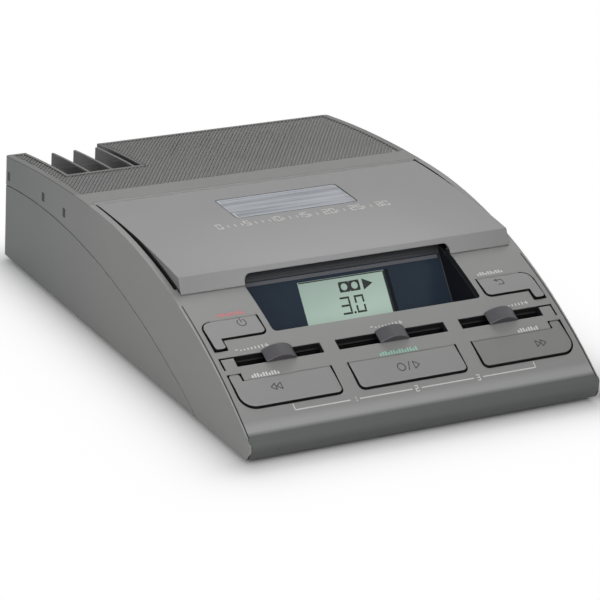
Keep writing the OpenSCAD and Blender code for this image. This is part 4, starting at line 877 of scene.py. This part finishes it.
signs = {
    "power_key": ring(-61, -68.5, 1.9, 0.45, 120, 420) + [bar(-61, -68.4, -61, -65.9, 0.45)],
    "search_key": path([(61.2, -70.4), (64.2, -70.4), (64.2, -67.8), (61.6, -67.8)], 0.45)
    + [[(61.9, -66.9), (60.2, -67.8), (61.9, -68.7)]],
    "rewind_key": chevrons(-60, -100, -1),
    "play_key": ring(-3.4, -101, 1.7, 0.45) + [bar(-0.6, -103, 1.0, -99, 0.4)]
    + path([(2.6, -102.7), (5.2, -101), (2.6, -99.3)], 0.4, True),
    "wind_key": chevrons(63.5, -101, 1),
}
for key, shapes in signs.items():
    printed(key + "_sign", key, "key_grey", dark_ink, shapes, landing(key))

on_panel = landing("top_cover")
rear_row_y, front_row_y = -63.2, -93.9
rows = {
    "power_row": (red_ink, tick_row(-63.5, rear_row_y, 12)),
    "search_row": (white_ink, tick_row(61, rear_row_y, 12)),
    "rewind_row": (white_ink, tick_row(-63, front_row_y, 12)),
    "play_row": (mint_ink, tick_row(-1, front_row_y, 17)),
    "wind_row": (white_ink, tick_row(62, front_row_y, 10)),
}
for name, (colour, shapes) in rows.items():
    printed(name, "housing", "housing_grey", colour, shapes, on_panel)
print("key marks:", len(signs) + len(rows))

# %% [markdown]
# The panel itself has signs for the three slide controls and a bracketed scale along the front edge. A fine
# black line near each side carries on the black beside the lid, and runs down over the front rail. The edge
# outside it has a pale line, a painted highlight.

# %% Panel marks
def slide_sign(x, y, half=5.0, steps=7, line=0.45, arm=0.9):
    """A minus, ticks that grow in height, and a plus."""
    shapes = [bar(x - half - 2.4, y, x - half - 1.2, y, line)]
    for i in range(steps):
        spot = x - half + 2 * half * i / (steps - 1)
        shapes.append(bar(spot, y - 0.8, spot, y - 0.2 + 0.15 * i, 0.6))
    plus = x + half + 2.0
    return shapes + [bar(plus - arm, y, plus + arm, y, line), bar(plus, y - arm, plus, y + arm, line)]


def front_scale(y=-110.3, left=-57.5, right=56.5, line=0.45, gap=2.2):
    shapes = [bar(x, y, x, y + 2.4, line) for x in (left, right)]
    stops = [left, -30.0, -1.0, 28.5, right]
    for i, (a, b) in enumerate(zip(stops, stops[1:])):
        shapes.append(bar(a + (gap if i else 0), y, b - (gap if i < 3 else 0), y, line))
    for number, x in zip("123", stops[1:4]):
        shapes += digit(number, x - 0.6, y - 1.1, 1.2, 2.2, 0.38)
    return shapes


panel_shapes = slide_sign(-63, -81.3) + slide_sign(61.5, -81.5) + slide_sign(0, -81) + front_scale()
panel_marks = printed("panel_marks", "housing", "housing_grey", white_ink, panel_shapes, on_panel)
on_rail = landing("top_cover", (0, -200, 0), along=(0, 0, 1))
edge_places = [-118.0 + 3.0 * i for i in range(22)]
rail_places = [3.2 + 0.9 * i for i in range(10)]
edge_x, edge_taper, gleam_x, rail_x, line_rise = 82.25, 0.03, 82.78, 82.45, 0.02
edge_lines, edge_gleam, rail_lines = [], [], []
for side in (-1, 1):
    edge_lines += path([(side * (edge_x - edge_taper * i), y) for i, y in enumerate(edge_places)], 0.65)
    edge_gleam += path([(side * gleam_x, y) for y in edge_places], 0.3)
    rail_lines += path([(side * rail_x, z) for z in rail_places], 0.85)
joint_black = finish["parts_black"]
printed("edge_lines", "housing", "parts_black", joint_black, edge_lines, on_panel, line_rise)
# Painted highlight: a pale line along each side edge of the panel.
printed("edge_gleam", "housing", "housing_grey", edge_highlight_ink, edge_gleam, on_panel, line_rise)
printed("rail_lines", "housing", "parts_black", joint_black, rail_lines, on_rail, line_rise)
print("panel marks:", len(panel_marks.data.polygons), "faces")

# %% [markdown]
# The lid has a numbered index along the lower side of its window, so that the tape's place can be read off.

# %% Lid index
def numbered_index(y=-10.6, left=-40.5, gap=13.3, figure=(2.1, 4.2, 0.6), line=0.55):
    labels = [str(5 * i) for i in range(7)]
    shapes = []
    for count, label in enumerate(labels):
        x = left + gap * count
        for place, number in enumerate(label):
            shapes += digit(number, x - len(label) * 1.6 + place * 3.3, y, *figure)
        if label != labels[-1]:
            spots = [x + gap * s / 4 for s in (1, 2, 3)]
            shapes += [bar(spot, y + 0.2, spot, y + 2.6, line) for spot in spots]
    return shapes


lid_index = printed("lid_index", "lid", "lid_grey", white_ink, numbered_index(), landing("cassette_lid"))
print("lid index:", len(lid_index.data.polygons), "faces")

# %% [markdown]
# A thin pane lies on the window's lens and fills its frame up to the roof of the lid. The joint round the pane
# shows as a fine dark line, and pale lines printed along its edges are a painted highlight.

# %% Window pane and its joint
def roof_z(y):
    return crown_z - roof_r + math.sqrt(roof_r ** 2 - (y - crown_y) ** 2)


def straight(x, y, z):
    return Vector((x, y, z)) * mm


def add_block(mesh, x, y, z, place=straight):
    """A block between two coordinates on each axis."""
    corners = [mesh.verts.new(place(x[i & 1], y[i >> 1 & 1], z[i >> 2])) for i in range(8)]
    for face in ((0, 2, 3, 1), (4, 5, 7, 6), (0, 1, 5, 4), (1, 3, 7, 5), (3, 2, 6, 7), (2, 0, 4, 6)):
        mesh.faces.new([corners[i] for i in face])


lens_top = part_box("lid_window")[1].z / mm
pane_x, pane_front, pane_rear = 29.85, -2.85, 18.35
lens_gap, roof_gap, joint_inset = 0.01, 0.15, 0.25


def in_window(x, y, share):
    """A point of the pane, at a share of the way from the lens up to the roof of the lid."""
    return straight(x, y, lens_top + lens_gap + share * (roof_z(y) - roof_gap - lens_top))


pane = bmesh.new()
add_block(pane, (-pane_x, pane_x), (pane_front, pane_rear), (0.0, 1.0), in_window)
as_piece("window_pane", pane, "lid", "window_tint")
on_window = landing("window_pane")
joint_x, joint_front, joint_rear = pane_x - joint_inset, pane_front + joint_inset, pane_rear - joint_inset
corners = [(-joint_x, joint_rear), (-joint_x, joint_front), (joint_x, joint_front), (joint_x, joint_rear)]
# Painted highlight: pale bars along the edges of the pane.
gleam = [
    bar(-28.9, 17.6, 28.4, 17.6, 0.9),
    bar(-28.9, -1.9, 24.5, -1.9, 0.7),
    bar(28.9, -1.0, 28.9, 17.0, 0.3),
    bar(-28.6, -1.2, -28.6, 3.0, 0.9),
    bar(-28.6, 14.5, -28.6, 17.0, 0.9),
    bar(-26.0, 15.7, 22.0, 15.7, 0.35),
]
printed("window_joint", "lid", "window_tint", dark_ink, path(corners, 0.4), on_window, line_rise)
printed("window_gleam", "lid", "window_tint", highlight_ink, gleam, on_window, line_rise)
print("window pane on the lens at z", round(lens_top, 2), "mm")

# %% [markdown]
# The loudspeaker sits under a grille of close diagonal ribs. The solid has the plate and every fourth rib. The
# ribs between them are laid on the plate here, as bars with sloping sides whose tops are flush with the roof.
# Each bar is a line across the plan, cut off at the grille's edge and round the plug bays. Strips of open foam
# lie in the sound slots and keep the dust out, so the slots look like the other grooves.

# %% Lines across the grille
rib_way = Vector((math.sin(rib_lean), math.cos(rib_lean)))
rib_side = Vector((math.cos(rib_lean), -math.sin(rib_lean)))
grille_box = (-79.3, 47.0), (79.3, 117.8)
bay_box = (-75.2, 72.4), (-35.1, 130.0)
shortest_rib, rib_stretch = 1.0, 10


def span_in(offset, low, high):
    """The stretch of a rib's line, at this offset, that lies in a box of the plan."""
    first, last = -1e9, 1e9
    for axis in (0, 1):
        base, run = rib_side[axis] * offset, rib_way[axis]
        a, b = sorted(((low[axis] - base) / run, (high[axis] - base) / run))
        first, last = max(first, a), min(last, b)
    return (first, last) if last > first else None


def rib_spans(offset):
    whole = span_in(offset, *grille_box)
    if not whole:
        return []
    gap = span_in(offset, *bay_box)
    if not gap or gap[1] <= whole[0] or gap[0] >= whole[1]:
        return [whole]
    return [s for s in ((whole[0], gap[0]), (gap[1], whole[1])) if s[1] - s[0] > shortest_rib]


def add_rib(mesh, offset, first, last, profile):
    steps = max(1, int((last - first) / rib_stretch))
    rows = []
    for i in range(steps + 1):
        spot = rib_side * offset + rib_way * (first + (last - first) * i / steps)
        row = []
        for side, drop in profile:
            x, y = spot + rib_side * side
            row.append(mesh.verts.new((x * mm, y * mm, (roof_z(y) - drop) * mm)))
        rows.append(row)
    for row, after in zip(rows, rows[1:]):
        add_wall(mesh, row, after)
    mesh.faces.new(rows[0])
    mesh.faces.new(rows[-1][::-1])


# %% Grille ribs and foam
RIB = ((-0.43, 0.62), (-0.37, 0.05), (0.37, 0.05), (0.43, 0.62))
FOAM = ((-0.27, 1.5), (-0.27, 0.64), (0.27, 0.64), (0.27, 1.5))
rib_step = 4
ribs = bmesh.new()
for count in range(-90, 31):
    if count % rib_step:
        for stretch in rib_spans(count * rib_pitch):
            add_rib(ribs, count * rib_pitch, *stretch, RIB)
grille_ribs = as_piece("grille_ribs", ribs, "housing", "grille_grey")

foam = bmesh.new()
speaker, sound_r, foam_gap = Vector((25.0, 83.0)), 23.3, 0.2
for count in range(-60, 20):
    offset = (2 * count + 0.5) * rib_pitch
    aside, along = offset - speaker.dot(rib_side), speaker.dot(rib_way)
    if abs(aside) < sound_r - shortest_rib:
        half = math.sqrt(sound_r ** 2 - aside ** 2) - foam_gap
        add_rib(foam, offset, along - half, along + half, FOAM)
slot_foam = as_piece("slot_foam", foam, "housing", "grille_grey")
print("faces of ribs and foam:", len(grille_ribs.data.polygons), len(slot_foam.data.polygons))

# %% [markdown]
# Dark linings make the openings of the panel look as deep as they are; they are painted shade. The slots of the
# slide controls have a thin black frame and, under it, two strips of felt with a lane for the lever; both are
# black, as painted shade.

# %% Slot linings
def on_slope(x, along, out):
    """A point by the panel: across, up the slope from the slots, and out of the panel."""
    c, s = math.cos(slope_a), math.sin(slope_a)
    return Vector((x, slope_y + along * c - out * s, slope_z + along * s + out * c)) * mm


# Painted shade: black frames and felt in the slots.
liners = bmesh.new()
frame_out, frame_in, frame_depth = 2.73, 2.58, (-2.6, -0.2)
end_out, end_in = 0.02, 0.14
felt_out, felt_in, felt_depth = 3.6, 1.7, (-3.2, -2.9)
for slot_x, slot_half in ((-53, 20), (0, 26), (53, 20)):
    whole = (slot_x - slot_half, slot_x + slot_half)
    for side in (-1, 1):
        end = (slot_x + side * (slot_half - end_out), slot_x + side * (slot_half - end_in))
        add_block(liners, whole, (side * frame_out, side * frame_in), frame_depth, on_slope)
        add_block(liners, end, (-frame_in, frame_in), frame_depth, on_slope)
        add_block(liners, whole, (side * felt_out, side * felt_in), felt_depth, on_slope)
slot_liners = as_piece("slot_liners", liners, "housing", "parts_black")
print("slot linings:", len(slot_liners.data.polygons), "faces")

# %% [markdown]
# Two fillings do the opposite: a film hinge closes the gap behind each key and behind its leg, and a pale
# strip in the joint behind the lid is painted light that brightens the shade there.

# %% Film hinges and the pale strip behind the lid
def panel_rise(along):
    return math.sqrt(panel_r ** 2 - along ** 2) - panel_r


films = bmesh.new()
film_drop, film_depth, hairline, leg_gap = 0.04, 0.8, 0.33, 0.88
front_keys_at, rear_keys_at, legs_at = -9.5, 23, -5.1
gaps = [
    (-72.8, -34, front_keys_at, hairline),
    (-25, 25, front_keys_at, hairline),
    (34, 72.8, front_keys_at, hairline),
    (-74, -53.4, rear_keys_at, hairline),
    (53.4, 74, rear_keys_at, hairline),
    (-79.4, -73.1, legs_at, leg_gap),
    (73.1, 79.4, legs_at, leg_gap),
]
for x0, x1, along, width in gaps:
    top = panel_rise(along) - film_drop
    add_block(films, (x0, x1), (along - width, along), (top - film_depth, top), on_slope)
film_hinges = as_piece("film_hinges", films, "housing", "housing_grey")
# Painted light: a pale strip set in the shaded joint behind the lid.
light_strip_mesh = bmesh.new()
add_block(light_strip_mesh, (-79.8, 79.8), (34.28, 34.48), (55.0, 56.85))
joint_light_strip = as_piece("joint_light_strip", light_strip_mesh, "housing", "housing_grey", finish["joint_light_pale"])
print("films:", len(film_hinges.data.polygons), "faces, seal:", len(joint_light_strip.data.polygons))

# %% [markdown]
# The plug bays have black side plates that step down towards the rear. The holes of the snap catches in the
# side walls are black too: a black block sits in each, and a thin black sheet with cut corners covers it flush
# with the wall, both painted shade for the depth of the holes.

# %% Bay plates and catches
bay_x, bay_pitch, bay_w, bay_floor = -73.0, 10.9, 9.7, 24.2
step_y, bay_front, plate_end = 87.6, 75.2, 110.0
plate_drop, plate_slope, plate_out, plate_in = 0.4, 0.385, 0.03, 0.25
step_z = roof_z(step_y) - plate_drop
outline = [
    (bay_front, bay_floor),
    (plate_end, bay_floor),
    (plate_end, step_z - plate_slope * (plate_end - step_y)),
    (step_y, step_z),
    (bay_front, roof_z(bay_front) - plate_drop),
]
plates = bmesh.new()
for bay in range(3):
    left = bay_x + bay * bay_pitch
    right = left + bay_w
    for x0, x1 in ((left + plate_out, left + plate_in), (right - plate_in, right - plate_out)):
        near = [plates.verts.new(straight(x0, y, z)) for y, z in outline]
        away = [plates.verts.new(straight(x1, y, z)) for y, z in outline]
        plates.faces.new(near)
        plates.faces.new(away[::-1])
        add_wall(plates, near, away)

# Painted shade: black blocks sunk in the holes of the catches.
catch_places = ((116.0, 41.2), (78.7, 44.5), (56.8, 44.9))
catch_in, catch_out, catch_y, catch_z = 80.6, 81.7, 0.95, 1.8
for y, z in catch_places:
    for side in (-1, 1):
        deep = (side * catch_in, side * catch_out)
        add_block(plates, deep, (y - catch_y, y + catch_y), (z - catch_z, z + catch_z))
black_plates = as_piece("black_plates", plates, "housing", "parts_black")

# Painted shade: flat black sheets over the holes of the catches.
patch_y, patch_z, patch_cut = 1.3, 2.1, 0.4
cut_y, cut_z = patch_y - patch_cut, patch_z - patch_cut
half_patch = [(patch_y, -cut_z), (patch_y, cut_z), (cut_y, patch_z), (-cut_y, patch_z)]
shade_patch = half_patch + [(-a, -b) for a, b in half_patch]
for side, name in ((-1, "left_catch_shade"), (1, "right_catch_shade")):
    catch_patches = [[(side * y + a, z + b) for a, b in shade_patch] for y, z in catch_places]
    beside = landing("top_cover", (side * 200, 0, 0), (0, side, 0), (0, 0, 1))
    printed(name, "housing", "parts_black", black_ink, catch_patches, beside)
print("black plates:", len(black_plates.data.polygons), "faces")

# %% [markdown]
# A cassette lies under the window. Its label is a paper sheet with two round holes for the reels and printed
# bands.

# %% Cassette label
def label_paper(name, front=-12.0, length=34.0):
    material, wire, skin = start(name, IOR=1.45)
    stops = [
        (0.0, tone(168, 182, 196)),
        (0.30, tone(196, 206, 214)),
        (0.34, tone(118, 138, 160)),
        (0.40, tone(200, 208, 215)),
        (0.78, tone(206, 213, 219)),
        (0.82, tone(130, 148, 168)),
        (0.90, tone(188, 200, 210)),
    ]
    share = (place_of(wire, "Y") - front) * (1.0 / length)
    bands = wire.node("ShaderNodeValToRGB", {"stops": stops}, {"Fac": share}, "Color")
    fibre = grains(wire, 0.9, 3.0)
    paint(wire, skin, between(wire, bands, tone(176, 184, 190), fibre * 0.3), 0.5 + 0.2 * fibre)
    return material


def rounded_outline(x0, x1, y0, y1, r, steps=6):
    outline = []
    corners = ((x1 - r, y0 + r, -90), (x1 - r, y1 - r, 0), (x0 + r, y1 - r, 90), (x0 + r, y0 + r, 180))
    for cx, cy, a0 in corners:
        for i in range(steps + 1):
            a = math.radians(a0 + 90 * i / steps)
            outline.append((cx + r * math.cos(a), cy + r * math.sin(a)))
    return outline


def cut_sheet(name, outlines, z, thick):
    """A flat sheet from an outline and the outlines of its holes."""
    curve = bpy.data.curves.new(name, "CURVE")
    curve.dimensions = "2D"
    curve.fill_mode = "BOTH"
    curve.extrude = thick / 2 * mm
    for outline in outlines:
        spline = curve.splines.new("POLY")
        spline.points.add(len(outline) - 1)
        for point, (x, y) in zip(spline.points, outline):
            point.co = (x * mm, y * mm, 0, 1)
        spline.use_cyclic_u = True
    former = bpy.data.objects.new(name, curve)
    data = bpy.data.meshes.new_from_object(former)
    bpy.data.objects.remove(former)
    mesh = bmesh.new()
    mesh.from_mesh(data)
    bmesh.ops.translate(mesh, verts=mesh.verts, vec=(0, 0, z * mm))
    return mesh


shell_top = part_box("cassette_shell")[1].z / mm
hub_x, hub_y, hole_r, paper = 12.5, 5.0, 5.2, 0.1
holes = [disc(side * hub_x, hub_y, hole_r, 40)[0] for side in (-1, 1)]
edge = rounded_outline(-26.5, 26.5, -12.5, 18.5, 1.2)
sheet = cut_sheet("cassette_label", [edge] + holes, shell_top + paper / 2, paper)
as_piece("cassette_label", sheet, "housing", "cassette_grey", label_paper("label_paper"))
print("label at z", round(shell_top, 2), "mm")

# %% [markdown]
# The studio is a white table under four soft lamps: one high behind the machine that draws a sheen over the
# lid, one in front of it for the panel and the keys, a weak one close above them, and a near one on the left,
# whose light falls off along the side wall. The world fills in a little from all round. The table's own colour
# is a pale grey. For rays from the camera, and for those that see it in something glossy, it turns into plain
# white light with the distance from the machine's foot, so that the ground is white while the soft shadow
# round the machine is kept. Near the foot the white fades out, which paints a grey halo of shade round the
# machine on top of its real shadow.

# %% Lamps
def soft_lamp(name, place, aim, size, watts):
    data = bpy.data.lights.new(name, "AREA")
    data.shape = "RECTANGLE"
    data.size, data.size_y = size
    data.energy = watts
    lamp = bpy.data.objects.new(name, data)
    lamp.location = place
    lamp.rotation_euler = (Vector(aim) - Vector(place)).to_track_quat("-Z", "Y").to_euler()
    bpy.context.scene.collection.objects.link(lamp)
    return lamp


middle = (0.0, 0.0, 0.03)
lamps = [
    soft_lamp("rear_lamp", (0.45, 0.75, 1.15), middle, (0.9, 0.7), 6.4),
    soft_lamp("front_lamp", (-0.1, -1.2, 0.7), middle, (0.9, 0.6), 5.2),
    soft_lamp("panel_lamp", (-0.35, -0.45, 0.8), middle, (0.6, 0.5), 0.95),
    soft_lamp("left_lamp", (-0.6, -0.45, 0.38), middle, (0.5, 0.4), 1.9),
]
print("lamps:", [lamp.name for lamp in lamps])


# %% World and table
def pale_rays(wire):
    """One for rays from the camera and for those that see the room in metal or glass."""
    rays = ("Is Camera Ray", "Is Glossy Ray", "Is Transmission Ray")
    seen, glossy, through = [wire.node("ShaderNodeLightPath", out=ray) for ray in rays]
    return clamped(seen + glossy + through)


def pale_world(fill):
    world = bpy.data.worlds.new("pale_room")
    world.use_nodes = True
    bpy.context.scene.world = world
    wire = Wire(world.node_tree)
    share = pale_rays(wire)
    background = world.node_tree.nodes["Background"]
    background.inputs["Color"].default_value = (1.0, 1.0, 1.0, 1.0)
    wire.feed(background.inputs["Strength"], fill + (1.0 - fill) * share)


def foot_distance(wire, foot_x=5.0, half_x=83.0, half_y=114.0, reach=17.7):
    """Nought under the machine, about one where the grey round its foot, real shadow and painted shade, has
    half gone.
    """
    aside = wire.reckon("MAXIMUM", abs(place_of(wire, "X") - foot_x) - half_x, 0.0) * 1.1
    ahead = wire.reckon("MAXIMUM", abs(place_of(wire, "Y")) - half_y, 0.0) * 1.3
    return (aside * aside + ahead * ahead) ** 0.5 * (1.0 / reach)


def white_table(size):
    mesh = bmesh.new()
    bmesh.ops.create_grid(mesh, x_segments=8, y_segments=8, size=size)
    data = bpy.data.meshes.new("table")
    mesh.to_mesh(data)
    mesh.free()
    table = bpy.data.objects.new("table", data)
    bpy.context.scene.collection.objects.link(table)
    material, wire, skin = start("table_white", Roughness=0.8, Base_Color=(0.6, 0.6, 0.6, 1.0))
    glow = wire.node("ShaderNodeEmission", {}, {"Color": (1.0, 1.0, 1.0, 1.0), "Strength": 1.0})
    # Painted shade: the white fades out towards the machine's foot.
    clear = 1.0 - math.e ** (foot_distance(wire) ** 1.3 * -1.0)
    share = pale_rays(wire) * clear
    mixed = wire.node("ShaderNodeMixShader", {}, {0: share, 1: Wire(wire.tree, skin.outputs[0]), 2: glow})
    wire.feed(wire.tree.nodes["Material Output"].inputs["Surface"], mixed)
    data.materials.append(material)
    return table


pale_world(0.02)
table = white_table(6.0)
bpy.context.scene.view_settings.view_transform = "Standard"
print("table:", table.name)
